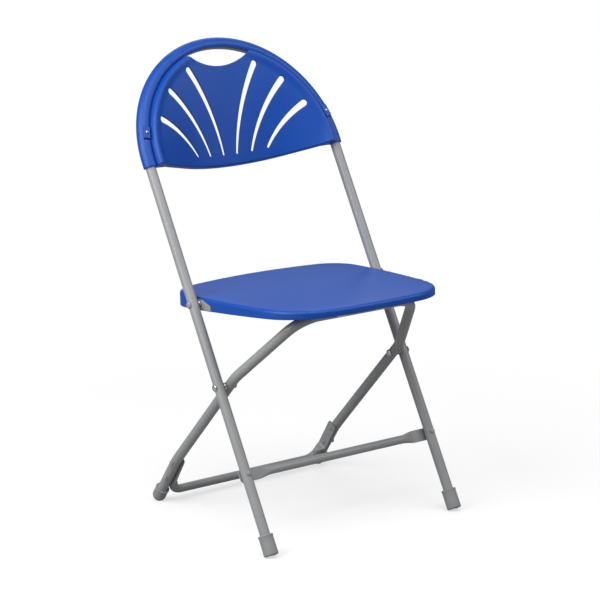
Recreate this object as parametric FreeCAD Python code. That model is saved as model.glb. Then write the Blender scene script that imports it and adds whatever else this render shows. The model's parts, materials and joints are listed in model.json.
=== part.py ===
import FreeCAD, Part
import math
import os

from FreeCAD import Placement, Rotation, Vector

# Folding chair: an arched tube frame with a moulded fan back, a moulded seat hinged on the uprights
# and a U of rear legs that carries the seat front. Millimetres, +Z up, the sitter faces -Y.

# Front frame: one tube bent to an arch
TUBE_D = 19.0
TUBE_WALL = 1.2
LEG_SPACING = 430.0
LEAN = 29.56
ARCH_START = 757.0
FRONT_CAP_D = 27.0
FRONT_CAP_LENGTH = 38.0
FRONT_CAP_SOLE = 5.0
FRONT_CAP_LIFT = 3.0

# Crossbars: thinner tube with flattened ends
BAR_D = 15.9
BAR_WALL = 1.2
BAR_PLATE_T = 2.6
FRONT_BAR_AT = 155.0
FRONT_BAR_FLAT = 40.0
FRONT_BAR_TAPER = 27.0
FRONT_BAR_END = 8.0
REAR_BAR_LEAN = 32.1
REAR_BAR_DROP = 88.0
REAR_BAR_BEND = 24.0
REAR_BAR_RISE = 6.0
REAR_BAR_TAPER = 13.0
REAR_RIVET_FIRST = 4.5
REAR_RIVET_PITCH = 40.0

# Rear legs: a U of tube inside the front frame
LEG_GAP = 5.0
REAR_SPACING = LEG_SPACING - 2 * (TUBE_D + LEG_GAP)
REAR_UPPER = 190.9
REAR_NECK = 25.0
REAR_TOP_WIDTH = 258.0
REAR_NECK_BEND = 60.0
REAR_TOP_BEND = 58.0
FOOT_BEND_HEIGHT = 92.9
FOOT_BEND = 120.0
REAR_FOOT_LEAN = 35.4
REAR_CAP_D = 26.0
REAR_CAP_LENGTH = 32.4
REAR_CAP_SINK = 1.0
CAP_RIM = 0.7
CAP_RIM_LENGTH = 3.0

# Pivots and rivets
LEG_PIVOT_AT = 320.0
SEAT_PIVOT_AT = 479.0
LEG_PIN_D = 8.0
SEAT_PIN_D = 7.0
PIN_HEAD_D = 13.0
PIN_HEAD_H = 3.2
SEAT_TAIL_D = 9.6
BAR_RIVET_D = 5.0
BAR_RIVET_HEAD_D = 10.0
BAR_RIVET_HEAD_H = 2.4

# Backrest moulding, measured along the upright and forward of the tube centres
BACK_BELOW = 12.0
RIM_WALL = 3.25
RIM_REAR_LIP = 5.0
PANEL_T = 4.0
PANEL_FOOT_R = 279.0
PANEL_WING = 24.6
PANEL_FLAT_AT = 289.0
PANEL_TILT = 18.66
PANEL_SET_BACK = 49.2
CREST_LEVEL = 20.5
CREST_WIDTH = 11.0
BORDER_INSET = 9.0
BORDER_WIDTH = 5.0
BORDER_DEPTH = 4.0
BACK_FLANGE = 8.0
HANDLE_HALF = 71.0
HANDLE_TIP_DROP = 25.5
HANDLE_DROP = 48.0
GRIP_INSET = 7.0
SLOT_TOP_W = 12.6
SLOT_FOOT_W = 5.2
SLOT_FOOT_RISE = 21.3
SLOT_TOP_INSET = 34.7
# Each slot of the fan: turn of its upper end round the arch, sideways place of its foot, and bow
SLOTS = ((65.1, 15.7, 9.3), (44.5, 48.6, 9.6), (24.3, 82.1, 7.8))
BOSS_HEIGHT = 53.0
BOSS_LENGTH = 24.0
BOSS_WIDTH = 13.0
BOSS_PROUD = 1.5
BACK_SCREW_D = 4.0
BACK_SCREW_HEAD_D = 6.0
BACK_SCREW_HEAD_H = 2.2

# Seat moulding, measured from the seat pivot
SEAT_TILT = 3.0
SEAT_TOP = 13.5
SEAT_SIDE_GAP = 4.0
SEAT_HALF_WIDTH = LEG_SPACING / 2 - TUBE_D / 2 - SEAT_SIDE_GAP
SEAT_WIDEST_AT = -20.0
SEAT_FRONT = 274.0
SEAT_REAR = 126.0
SEAT_SIDE_R = 1200.0
SEAT_FRONT_R = 491.0
SEAT_REAR_R = 315.0
SEAT_FRONT_CORNER = 70.0
SEAT_REAR_CORNER = 45.0
SEAT_EDGE_R = 4.5
SEAT_PLATE_T = 4.0
SKIRT_T = 3.5
SKIRT_FRONT = 17.5
SKIRT_REAR = 31.0
RIB_T = 2.5
RIB_PITCH = 62.0
SADDLE_PAD = 7.6

# Seat hardware
CLIP_T = 2.0
CLIP_WIDTH = 24.0
CLIP_AT = 44.0
CLIP_TAB = 26.0
CLIP_WRAP = 120.0
CLIP_SCREW_AT = 17.0
BRACKET_T = 2.5
BRACKET_FRONT = 34.0
BRACKET_REAR = 20.0
BRACKET_NOSE = 9.5
BRACKET_FLANGE = 36.0
BRACKET_SCREWS = (-5.0, 12.0)
SCREW_D = 4.0
SCREW_HEAD_D = 7.0
SCREW_HEAD_H = 2.0
SCREW_BITE = 6.0

# Clearances
PIN_CLEAR = 0.05
RUN_CLEAR = 0.3
SEAT_FIT = 0.15
SLEEVE_FIT = 0.3
CLIP_CLEAR = 0.4

# Worked out from the sizes above
TUBE_R = TUBE_D / 2
BAR_R = BAR_D / 2
HALF = LEG_SPACING / 2
REAR_HALF = REAR_SPACING / 2
RIM_R = TUBE_R + SLEEVE_FIT + RIM_WALL
ARCH_TOP = ARCH_START + HALF
BACK_BOTTOM = ARCH_START - BACK_BELOW
HANDLE_BOTTOM = ARCH_TOP - HANDLE_DROP
HANDLE_TOP = ARCH_TOP - HANDLE_TIP_DROP
BIG = 2 * ARCH_TOP
PLATE_HEIGHT = math.pi * (BAR_D - BAR_PLATE_T) / 2 + BAR_PLATE_T
X_AXIS = Vector(1, 0, 0)
Y_AXIS = Vector(0, 1, 0)
Z_AXIS = Vector(0, 0, 1)


def turned(angle):
    """Unit vector in the YZ plane, turned from straight up towards the rear."""
    return Vector(0, math.sin(math.radians(angle)), math.cos(math.radians(angle)))


# Frames: the upright is modelled flat as X, along the leg, forward of it
UPRIGHT = Placement(Vector(0, 0, 0), Rotation(X_AXIS, 90 - LEAN))
LEG_PIVOT = turned(LEAN) * LEG_PIVOT_AT
SEAT_PIVOT = turned(LEAN) * SEAT_PIVOT_AT
SEAT = Placement(SEAT_PIVOT, Rotation(X_AXIS, -SEAT_TILT))

# Seat levels, above the pivot
PLATE_UNDER = SEAT_TOP - SEAT_PLATE_T
PAD_FACE = PLATE_UNDER - SADDLE_PAD
SADDLE_Z = PAD_FACE - CLIP_T - CLIP_CLEAR - TUBE_R
BRACKET_TOP = SEAT_TAIL_D / 2 + CLIP_CLEAR + BRACKET_T


def saddle_place():
    """Where the cross tube meets the saddle: on the saddle level, one rear-leg length from the leg pivot."""
    level = SEAT.multVec(Vector(0, 0, SADDLE_Z))
    ahead = turned(SEAT_TILT - 90)
    offset = level - LEG_PIVOT
    half_b = offset.dot(ahead)
    reach = -half_b + math.sqrt(half_b ** 2 - offset.dot(offset) + REAR_UPPER ** 2)
    return level + ahead * reach, -reach


CROSS_TUBE, SADDLE_Y = saddle_place()
REAR_UP = (CROSS_TUBE - LEG_PIVOT) * (1 / REAR_UPPER)
FOOT_BEND_AT = LEG_PIVOT - REAR_UP * ((LEG_PIVOT.z - FOOT_BEND_HEIGHT) / REAR_UP.z)
FOOT_DOWN = turned(180 - REAR_FOOT_LEAN)
REAR_FOOT = Placement(FOOT_BEND_AT, Rotation(X_AXIS, REAR_BAR_LEAN - 90))


def side(point, x):
    """The same point, moved to a side of the chair."""
    return Vector(x, point.y, point.z)


def bent_path(corners, bends):
    """Straight runs through the corners, joined by tangent arcs of the given radii."""
    edges = []
    start = corners[0]
    for before, corner, after, radius in zip(corners, corners[1:], corners[2:], bends):
        into = (corner - before).normalize()
        out = (after - corner).normalize()
        half_turn = into.getAngle(out) / 2
        reach = radius * math.tan(half_turn)
        first = corner - into * reach
        last = corner + out * reach
        middle = corner + (out - into).normalize() * (radius / math.cos(half_turn) - radius)
        if not first.isEqual(start, RUN_CLEAR):
            edges.append(Part.LineSegment(start, first).toShape())
        edges.append(Part.Arc(first, middle, last).toShape())
        start = last
    edges.append(Part.LineSegment(start, corners[-1]).toShape())
    return Part.Wire(edges)


def rod(path, radius):
    """A round solid along a path."""
    first = path.Edges[0]
    start = first.valueAt(first.FirstParameter)
    heading = first.tangentAt(first.FirstParameter)
    ring = Part.Wire(Part.Circle(start, heading, radius).toShape())
    return path.makePipeShell([ring], True, False)


def pipe(path, diameter, wall):
    """A tube along a path, open at both ends."""
    return rod(path, diameter / 2).cut(rod(path, diameter / 2 - wall))


def block(x, y, z):
    """A box given by its low and high values on each axis."""
    return Part.makeBox(x[1] - x[0], y[1] - y[0], z[1] - z[0], Vector(x[0], y[0], z[0]))


def pin(start, end, diameter):
    """A round bar between two points."""
    return Part.makeCylinder(diameter / 2, (end - start).Length, start, end - start)


def spun(outline, base, out):
    """A turned solid: an outline of (radius, height) pieces, spun about an axis through a base point."""
    edges = []
    for piece in outline:
        points = [Vector(radius, 0, height) for radius, height in piece]
        edges.append((Part.LineSegment if len(points) == 2 else Part.Arc)(*points).toShape())
    solid = Part.Face(Part.Wire(edges)).revolve(Vector(0, 0, 0), Z_AXIS, 360)
    return place(solid, Placement(base, Rotation(Z_AXIS, out)))


def low_dome(radius, base, height):
    """The arc of a low round head, from its rim to its crown."""
    ball = (radius ** 2 + height ** 2) / (2 * abs(height))
    level = math.sqrt(ball ** 2 - radius ** 2 / 4) - (ball - abs(height))
    return (radius, base), (radius / 2, base + math.copysign(level, height)), (0, base + height)


def rivet(outer, inner, diameter, head_d, tail_d, head_h):
    """A rivet through everything between two faces, with a low dome on each."""
    length = (outer - inner).Length
    shank = diameter / 2
    rim = head_d / 2
    outline = [
        low_dome(tail_d / 2, 0, -head_h)[::-1],
        ((tail_d / 2, 0), (shank, 0)),
        ((shank, 0), (shank, length)),
        ((shank, length), (rim, length)),
        low_dome(rim, length, head_h),
        ((0, length + head_h), (0, -head_h)),
    ]
    return spun(outline, inner, outer - inner)


def bar_rivet(outer, inner):
    """A rivet that holds a flattened bar end on a leg."""
    return rivet(outer, inner, BAR_RIVET_D, BAR_RIVET_HEAD_D, BAR_RIVET_HEAD_D, BAR_RIVET_HEAD_H)


def screw(face, into, diameter, head_d, head_h, bite):
    """A pan head screw seated on a face, with its shank driven along a direction."""
    shank = diameter / 2
    rim = head_d / 2
    outline = [
        ((0, -head_h), (shank, -head_h)),
        ((shank, -head_h), (rim - head_h / 3, -head_h * 2 / 3), (rim, 0)),
        ((rim, 0), (shank, 0)),
        ((shank, 0), (shank, bite)),
        ((shank, bite), (0, bite)),
        ((0, bite), (0, -head_h)),
    ]
    return spun(outline, face, into)


def plate_section(place):
    """Flattened tube end: a slot-shaped outline of the same girth as the round tube."""
    half = (PLATE_HEIGHT - BAR_PLATE_T) / 2
    r = BAR_PLATE_T / 2
    edges = [
        Part.LineSegment(Vector(r, -half, 0), Vector(r, half, 0)).toShape(),
        Part.Arc(Vector(r, half, 0), Vector(0, half + r, 0), Vector(-r, half, 0)).toShape(),
        Part.LineSegment(Vector(-r, half, 0), Vector(-r, -half, 0)).toShape(),
        Part.Arc(Vector(-r, -half, 0), Vector(0, -half - r, 0), Vector(r, -half, 0)).toShape(),
    ]
    return placed_wire(edges, place)


def round_section(place):
    """The round bar outline in four arcs, to match the flattened outline edge for edge."""
    points = [Rotation(Z_AXIS, 360 / 8 * step).multVec(Vector(BAR_R, 0, 0)) for step in range(-1, 8)]
    edges = [Part.Arc(*points[i:i + 3]).toShape() for i in range(0, 8, 2)]
    return placed_wire(edges, place)


def placed_wire(edges, place):
    """A closed outline moved to its place."""
    wire = Part.Wire(edges)
    wire.Placement = place
    return wire


def taper(round_place, flat_place):
    """The part of a bar where the round tube is pressed flat."""
    return Part.makeLoft([round_section(round_place), plate_section(flat_place)], True, True)


def plate(flat_place, length):
    """The flattened end itself, running away from the taper."""
    return Part.Face(plate_section(flat_place)).extrude(flat_place.Rotation.multVec(Z_AXIS) * length)


def above_floor(shape):
    """Trims a foot flat where it stands on the floor."""
    return shape.cut(block((-BIG, BIG), (-BIG, BIG), (-BIG, 0)))


def arch_path(start):
    """Centre line of the arch in the upright's own frame, up from a place along the legs."""
    corners = [Vector(-HALF, start, 0), Vector(-HALF, ARCH_TOP, 0)]
    corners += [Vector(-corner.x, corner.y, 0) for corner in reversed(corners)]
    return bent_path(corners, (HALF, HALF))


def front_frame_tube():
    """The arch: two straight legs and a half circle, drilled for its rivets and screws."""
    foot = (FRONT_CAP_LIFT / math.cos(math.radians(LEAN))) + FRONT_CAP_SOLE
    tube = pipe(arch_path(foot), TUBE_D, TUBE_WALL)
    drills = []
    for x in (-HALF, HALF):
        across = Vector(TUBE_D, 0, 0)
        for along, diameter in ((LEG_PIVOT_AT, LEG_PIN_D), (SEAT_PIVOT_AT, SEAT_PIN_D)):
            centre = Vector(x, along, 0)
            drills.append(pin(centre - across, centre + across, diameter + 2 * PIN_CLEAR))
        centre = Vector(x, FRONT_BAR_AT, 0)
        drills.append(pin(centre - Z_AXIS * TUBE_D, centre + Z_AXIS * TUBE_D, BAR_RIVET_D + 2 * PIN_CLEAR))
        centre = boss_centre(math.copysign(1, x))
        drills.append(pin(centre, centre + Z_AXIS * TUBE_D, BACK_SCREW_D + 2 * PIN_CLEAR))
    return place(tube.cut(drills), UPRIGHT)


def place(shape, placement):
    """A copy of a shape moved from its own frame into the chair."""
    moved = shape.copy()
    moved.Placement = placement.multiply(moved.Placement)
    return moved


def foot_cap_front(x):
    """Square-cut plastic cup on a front leg."""
    sole = FRONT_CAP_LIFT / math.cos(math.radians(LEAN))
    cup = Part.makeCylinder(FRONT_CAP_D / 2, FRONT_CAP_LENGTH, Vector(x, sole, 0), Y_AXIS)
    rim = Part.makeCylinder(FRONT_CAP_D / 2 + CAP_RIM, CAP_RIM_LENGTH,
                            Vector(x, sole + FRONT_CAP_LENGTH - CAP_RIM_LENGTH, 0), Y_AXIS)
    bore_foot = Vector(x, sole + FRONT_CAP_SOLE, 0)
    bore = Part.makeCylinder(TUBE_R + PIN_CLEAR, FRONT_CAP_LENGTH, bore_foot, Y_AXIS)
    return above_floor(place(cup.fuse(rim).cut(bore), UPRIGHT))


def front_crossbar():
    """Straight bar behind the front legs, its flattened ends riveted to them."""
    level = -TUBE_R - BAR_PLATE_T / 2
    flat_start = HALF + FRONT_BAR_END - FRONT_BAR_FLAT
    round_end = flat_start - FRONT_BAR_TAPER
    ends = []
    drills = []
    for sign in (-1, 1):
        heading = Rotation(Y_AXIS, 90 * sign)
        # the outline's first axis is the plate's thickness, which points forward here
        flat = Placement(Vector(sign * flat_start, FRONT_BAR_AT, level), heading)
        ring = Placement(Vector(sign * round_end, FRONT_BAR_AT, level), heading)
        ends += [taper(ring, flat), plate(flat, FRONT_BAR_FLAT)]
        hole = Vector(sign * HALF, FRONT_BAR_AT, level)
        drills.append(pin(hole - Z_AXIS * TUBE_R, hole + Z_AXIS * TUBE_R, BAR_RIVET_D + 2 * PIN_CLEAR))
    left = Vector(-round_end, FRONT_BAR_AT, level)
    right = Vector(round_end, FRONT_BAR_AT, level)
    bar = pin(left, right, BAR_D).fuse(ends).removeSplitter()
    return place(bar.cut(drills + [pin(left, right, BAR_D - 2 * BAR_WALL)]), UPRIGHT)


def front_crossbar_rivets():
    """One rivet through each front leg and crossbar end."""
    rivets = []
    for x in (-HALF, HALF):
        outer = Vector(x, FRONT_BAR_AT, TUBE_R)
        inner = Vector(x, FRONT_BAR_AT, -TUBE_R - BAR_PLATE_T)
        rivets.append(bar_rivet(outer, inner))
    return place(Part.makeCompound(rivets), UPRIGHT)


def leg_pivot_rivet(sign):
    """Rivet on which a rear leg turns."""
    outer = side(LEG_PIVOT, sign * (HALF + TUBE_R))
    inner = side(LEG_PIVOT, sign * (REAR_HALF - TUBE_R - RUN_CLEAR))
    return rivet(outer, inner, LEG_PIN_D, PIN_HEAD_D, PIN_HEAD_D, PIN_HEAD_H)


def leg_pivot_spacer(sign):
    """Bush that holds the rear leg off the front leg."""
    start = side(LEG_PIVOT, sign * (REAR_HALF + TUBE_R + RUN_CLEAR))
    end = side(LEG_PIVOT, sign * (HALF - TUBE_R))
    return pin(start, end, PIN_HEAD_D).cut(pin(start, end, LEG_PIN_D + 2 * PIN_CLEAR))


def seat_pivot_rivet(sign):
    """Rivet on which the seat turns."""
    outer = side(SEAT_PIVOT, sign * (HALF + TUBE_R))
    inner = side(SEAT_PIVOT, sign * (SEAT_HALF_WIDTH - BRACKET_T - RUN_CLEAR))
    return rivet(outer, inner, SEAT_PIN_D, PIN_HEAD_D, SEAT_TAIL_D, PIN_HEAD_H)


def seat_pivot_washer(sign):
    """Washer between the upright and the seat hinge bracket."""
    start = side(SEAT_PIVOT, sign * (SEAT_HALF_WIDTH + RUN_CLEAR))
    end = side(SEAT_PIVOT, sign * (HALF - TUBE_R))
    return pin(start, end, PIN_HEAD_D).cut(pin(start, end, SEAT_PIN_D + 2 * PIN_CLEAR))


def rear_leg_frame():
    """The U of rear legs: bent feet, a neck above the pivot and a cross tube under the seat."""
    foot = REAR_CAP_D / 2 - REAR_CAP_SINK
    foot_end = FOOT_BEND_AT + FOOT_DOWN * ((FOOT_BEND_HEIGHT - foot) / -FOOT_DOWN.z)
    neck = LEG_PIVOT + REAR_UP * REAR_NECK
    half_top = REAR_TOP_WIDTH / 2
    left = [side(foot_end, -REAR_HALF), side(FOOT_BEND_AT, -REAR_HALF), side(neck, -REAR_HALF),
            side(CROSS_TUBE, -half_top)]
    right = [side(point, -point.x) for point in reversed(left)]
    bends = (FOOT_BEND, REAR_NECK_BEND, REAR_TOP_BEND, REAR_TOP_BEND, REAR_NECK_BEND, FOOT_BEND)
    tube = pipe(bent_path(left + right, bends), TUBE_D, TUBE_WALL)
    across = X_AXIS * TUBE_D
    drills = []
    for sign in (-1, 1):
        centre = side(LEG_PIVOT, sign * REAR_HALF)
        drills.append(pin(centre - across, centre + across, LEG_PIN_D + 2 * PIN_CLEAR))
        for point in rear_rivet_points():
            centre = side(point, sign * REAR_HALF)
            drills.append(pin(centre - across, centre + across, BAR_RIVET_D + 2 * PIN_CLEAR))
    return tube.cut(drills)


def rear_rivet_points():
    """Rivet places along the flattened ends of the rear crossbar."""
    return [REAR_FOOT.multVec(Vector(0, REAR_RIVET_FIRST + step * REAR_RIVET_PITCH, 0)) for step in (0, 1)]


def rear_crossbar():
    """Shallow U bar: its ends are pressed flat against the inner faces of the rear legs."""
    face = REAR_HALF - TUBE_R
    round_x = face - BAR_R
    bend_start = REAR_BAR_DROP - REAR_BAR_BEND
    flat_end = bend_start - REAR_BAR_TAPER
    pieces = []
    drills = []
    for sign in (-1, 1):
        up = Rotation(X_AXIS, 90)
        flat = Placement(Vector(sign * (face - BAR_PLATE_T / 2), flat_end, 0), up)
        ring = Placement(Vector(sign * round_x, bend_start, 0), up)
        pieces += [taper(ring, flat), plate(flat, flat_end + REAR_BAR_RISE)]
        for step in (0, 1):
            hole = Vector(sign * face, REAR_RIVET_FIRST + step * REAR_RIVET_PITCH, 0)
            drills.append(pin(hole - X_AXIS * BAR_D, hole + X_AXIS * BAR_D, BAR_RIVET_D + 2 * PIN_CLEAR))
    corners = [Vector(-round_x, bend_start, 0), Vector(-round_x, REAR_BAR_DROP, 0),
               Vector(round_x, REAR_BAR_DROP, 0), Vector(round_x, bend_start, 0)]
    path = bent_path(corners, (REAR_BAR_BEND - RUN_CLEAR, REAR_BAR_BEND - RUN_CLEAR))
    bar = rod(path, BAR_R).fuse(pieces).removeSplitter()
    return place(bar.cut(drills + [rod(path, BAR_R - BAR_WALL)]), REAR_FOOT)


def rear_crossbar_rivets():
    """Two rivets through each rear leg and crossbar end."""
    rivets = []
    for sign in (-1, 1):
        for point in rear_rivet_points():
            outer = side(point, sign * (REAR_HALF + TUBE_R))
            inner = side(point, sign * (REAR_HALF - TUBE_R - BAR_PLATE_T))
            rivets.append(bar_rivet(outer, inner))
    return Part.makeCompound(rivets)


def foot_cap_rear(x):
    """Round-ended plastic cup on a rear leg, trimmed flat on the floor."""
    r = REAR_CAP_D / 2
    centre_height = r - REAR_CAP_SINK
    centre = side(FOOT_BEND_AT + FOOT_DOWN * ((FOOT_BEND_HEIGHT - centre_height) / -FOOT_DOWN.z), x)
    up = FOOT_DOWN * -1
    wall_length = REAR_CAP_LENGTH - r
    cup = Part.makeCylinder(r, wall_length, centre, up).fuse(Part.makeSphere(r, centre))
    rim = Part.makeCylinder(r + CAP_RIM, CAP_RIM_LENGTH, centre + up * (wall_length - CAP_RIM_LENGTH), up)
    bore = Part.makeCylinder(TUBE_R + PIN_CLEAR, REAR_CAP_LENGTH, centre, up)
    return above_floor(cup.fuse(rim).cut(bore))


def boss_centre(sign):
    """Centre of a backrest screw boss on the arch, in the upright's own frame."""
    return Vector(sign * math.sqrt(HALF ** 2 - BOSS_HEIGHT ** 2), ARCH_START + BOSS_HEIGHT, 0)


def arch_wire(radius, level):
    """The arch-shaped outline of a radius, closed along the lower edge of the back."""
    right = Vector(radius, ARCH_START, level)
    left = Vector(-radius, ARCH_START, level)
    right_foot = Vector(radius, BACK_BOTTOM, level)
    left_foot = Vector(-radius, BACK_BOTTOM, level)
    edges = [
        Part.LineSegment(right_foot, right).toShape(),
        Part.Arc(right, Vector(0, ARCH_START + radius, level), left).toShape(),
        Part.LineSegment(left, left_foot).toShape(),
        Part.LineSegment(left_foot, right_foot).toShape(),
    ]
    return Part.Wire(edges)


def arch_region(radius, low, high):
    """The arch-shaped outline of a radius, raised between two levels in front of the tubes."""
    return Part.Face(arch_wire(radius, low)).extrude(Z_AXIS * (high - low))


def dish(depth):
    """Everything in front of the dished panel face, or of a face set back from it by a depth.

    The face is ruled from a bowed foot to a flatter top. Each is an arc with a straight wing on both sides.
    """
    sections = []
    for height in (-PANEL_T, HALF + BACK_BELOW):
        share = 1 - height / PANEL_FLAT_AT
        radius = PANEL_FOOT_R / share
        slope = share * math.tan(math.radians(PANEL_WING))
        wing = math.atan(slope)
        along = BACK_BOTTOM + height
        low = height * math.tan(math.radians(PANEL_TILT)) - PANEL_SET_BACK - depth
        bend = radius * math.sin(wing)
        rise = low + radius * (1 - math.cos(wing))
        high = rise + slope * (HALF - bend)
        left = Vector(-HALF, along, high)
        left_bend = Vector(-bend, along, rise)
        right_bend = Vector(bend, along, rise)
        right = Vector(HALF, along, high)
        edges = [
            Part.LineSegment(left, left_bend).toShape(),
            Part.Arc(left_bend, Vector(0, along, low), right_bend).toShape(),
            Part.LineSegment(right_bend, right).toShape(),
        ]
        front = [right, Vector(HALF, along, BIG), Vector(-HALF, along, BIG), left]
        sections.append(Part.Wire(edges + Part.makePolygon(front).Edges))
    return Part.makeLoft(sections, True, True)


def funnel(depth):
    """Everything inside the sloping inner side of the border, or of a side set back from it by a depth."""
    inner = HALF - BORDER_INSET - CREST_WIDTH + depth
    deep = 2 * PANEL_SET_BACK
    sections = [arch_wire(inner - deep, CREST_LEVEL - deep), arch_wire(inner, CREST_LEVEL)]
    return Part.makeLoft(sections, True, True)


def slot_points(turn, foot_x, bow):
    """Upper end, middle and foot of a slot of the fan, on the flat of the panel."""
    reach = HALF - SLOT_TOP_INSET
    top = Vector(reach * math.cos(math.radians(turn)), ARCH_START + reach * math.sin(math.radians(turn)), 0)
    foot = Vector(foot_x, BACK_BOTTOM + SLOT_FOOT_RISE, 0)
    aside = Z_AXIS.cross(top - foot).normalize()
    return top, (top + foot) * 0.5 + aside * bow, foot


def slot_cutter(points, low, high):
    """A curved slot, wide and round at its top, that narrows to its foot."""
    spine = Part.Arc(*[point + Z_AXIS * low for point in points])
    step = (spine.LastParameter - spine.FirstParameter) / 2
    left = []
    right = []
    caps = []
    for index, width in enumerate((SLOT_TOP_W, (SLOT_TOP_W + SLOT_FOOT_W) / 2, SLOT_FOOT_W)):
        at = spine.FirstParameter + index * step
        heading = Vector(*spine.tangent(at)[0]).normalize() * (width / 2)
        left.append(spine.value(at) + Z_AXIS.cross(heading))
        right.append(spine.value(at) - Z_AXIS.cross(heading))
        caps.append(spine.value(at) + heading * (index - 1))
    arcs = [
        Part.Arc(*left),
        Part.Arc(left[-1], caps[-1], right[-1]),
        Part.Arc(*reversed(right)),
        Part.Arc(right[0], caps[0], left[0]),
    ]
    return Part.Face(Part.Wire([arc.toShape() for arc in arcs])).extrude(Z_AXIS * (high - low))


def handle_cutter(low, high):
    """Lens-shaped hand hole below the top of the arch."""
    tip = HALF * HANDLE_HALF / (HALF - RIM_R)
    rise = (HANDLE_TOP - HANDLE_BOTTOM) * (tip / HANDLE_HALF) ** 2
    left = Vector(-tip, HANDLE_BOTTOM + rise, low)
    right = Vector(tip, HANDLE_BOTTOM + rise, low)
    edges = [
        Part.Arc(left, Vector(0, HANDLE_BOTTOM, low), right).toShape(),
        Part.Arc(right, Vector(0, ARCH_TOP, low), left).toShape(),
    ]
    return Part.Face(Part.Wire(edges)).extrude(Z_AXIS * (high - low))


def backrest():
    """Moulded back: a rim that clips over the arch from the front, and a dished fan panel."""
    deep = -2 * PANEL_SET_BACK
    border_r = HALF - BORDER_INSET
    front = dish(0).common(funnel(0)).fuse(block((-BIG, BIG), (0, BIG), (CREST_LEVEL, BIG)))
    behind = dish(PANEL_T).common(funnel(PANEL_T))
    behind = behind.fuse(block((-BIG, BIG), (0, BIG), (CREST_LEVEL - PANEL_T, BIG)))
    region = arch_region(border_r, deep, PANEL_SET_BACK)
    panel = region.common(behind).cut(front)
    foot_zone = block((-BIG, BIG), (BACK_BOTTOM, BACK_BOTTOM + PANEL_T), (deep, BIG))
    lip = region.common(dish(PANEL_T + BACK_FLANGE)).common(foot_zone)
    gusset = arch_region(border_r, -RIM_REAR_LIP, PANEL_SET_BACK).common(foot_zone)
    border = arch_region(border_r, -BORDER_DEPTH, PANEL_SET_BACK)
    border = border.cut(arch_region(border_r - BORDER_WIDTH, deep, BIG))
    slots = []
    for slot in SLOTS:
        for sign in (-1, 1):
            mirrored = [Vector(sign * point.x, point.y, 0) for point in slot_points(*slot)]
            slots.append(slot_cutter(mirrored, deep, PANEL_SET_BACK))
    edges = lip.fuse([gusset, border]).cut(front)
    fan = panel.fuse(edges).cut(slots + [handle_cutter(deep, PANEL_SET_BACK)])

    path = arch_path(BACK_BOTTOM)
    rim = rod(path, RIM_R).cut(block((-BIG, BIG), (0, BIG), (-BIG, -RIM_REAR_LIP)))
    half_width = BOSS_WIDTH / 2
    half_length = BOSS_LENGTH / 2
    boss = block((-half_width, half_width), (-half_length, half_length), (0, RIM_R + BOSS_PROUD))
    boss_turn = math.degrees(math.asin(BOSS_HEIGHT / HALF))
    bosses = []
    drills = []
    for sign in (-1, 1):
        centre = boss_centre(sign)
        bosses.append(place(boss, Placement(centre, Rotation(Z_AXIS, sign * boss_turn))))
        drills.append(pin(centre, centre + Z_AXIS * BIG, BACK_SCREW_D + 2 * PIN_CLEAR))
    grip_zone = block((-HANDLE_HALF, HANDLE_HALF), (HANDLE_BOTTOM, ARCH_TOP), (-BIG, BIG))
    grip = grip_zone.common(arch_region(HALF - GRIP_INSET, -BIG, BIG))
    grip = grip.fuse(grip_zone.common(block((-BIG, BIG), (0, BIG), (-BIG, 0))))
    bore = rod(path, TUBE_R + SLEEVE_FIT)
    shell = rim.cut(grip).fuse(bosses + [fan]).cut([bore] + drills)
    return place(shell.removeSplitter(), UPRIGHT)


def backrest_screws():
    """Two screws that hold the back on the arch."""
    screws = []
    for sign in (-1, 1):
        face = boss_centre(sign) + Z_AXIS * (RIM_R + BOSS_PROUD)
        bite = RIM_R + BOSS_PROUD - TUBE_R + 2 * TUBE_WALL
        screws.append(screw(face, Z_AXIS * -1, BACK_SCREW_D, BACK_SCREW_HEAD_D, BACK_SCREW_HEAD_H, bite))
    return place(Part.makeCompound(screws), UPRIGHT)


def seat_blank(inset, low, high):
    """The seat outline, four broad arcs with rounded corners, raised between two levels."""
    discs = [
        (SEAT_SIDE_R, Vector(SEAT_HALF_WIDTH - SEAT_SIDE_R, SEAT_WIDEST_AT, low)),
        (SEAT_SIDE_R, Vector(SEAT_SIDE_R - SEAT_HALF_WIDTH, SEAT_WIDEST_AT, low)),
        (SEAT_FRONT_R, Vector(0, SEAT_FRONT_R - SEAT_FRONT, low)),
        (SEAT_REAR_R, Vector(0, SEAT_REAR - SEAT_REAR_R, low)),
    ]
    solids = [Part.makeCylinder(radius - inset, high - low, centre) for radius, centre in discs]
    blank = solids[0].common(solids[1]).common(solids[2]).common(solids[3])
    for corner, is_front in ((SEAT_FRONT_CORNER, True), (SEAT_REAR_CORNER, False)):
        uprights = [edge for edge in blank.Edges if is_corner(edge, is_front)]
        blank = blank.makeFillet(corner - inset, uprights)
    return blank


def is_corner(edge, is_front):
    """True for an upright corner edge on the front or the rear of the seat blank."""
    ends = [vertex.Point for vertex in edge.Vertexes]
    upright = len(ends) == 2 and math.hypot(ends[0].x - ends[1].x, ends[0].y - ends[1].y) < SEAT_FIT
    middle = edge.CenterOfMass
    return upright and (middle.y < 0) == is_front and abs(middle.y) > SEAT_REAR_CORNER / 2


def skirt_cutter():
    """Everything below the sloping lower edge of the skirt."""
    front = Vector(0, -SEAT_FRONT, SEAT_TOP - SKIRT_FRONT)
    rear = Vector(0, SEAT_REAR, SEAT_TOP - SKIRT_REAR)
    slope = math.degrees(math.atan2(rear.z - front.z, rear.y - front.y))
    below = block((-BIG, BIG), (-BIG, BIG), (-BIG, 0))
    return place(below, Placement(front, Rotation(X_AXIS, slope)))


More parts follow.
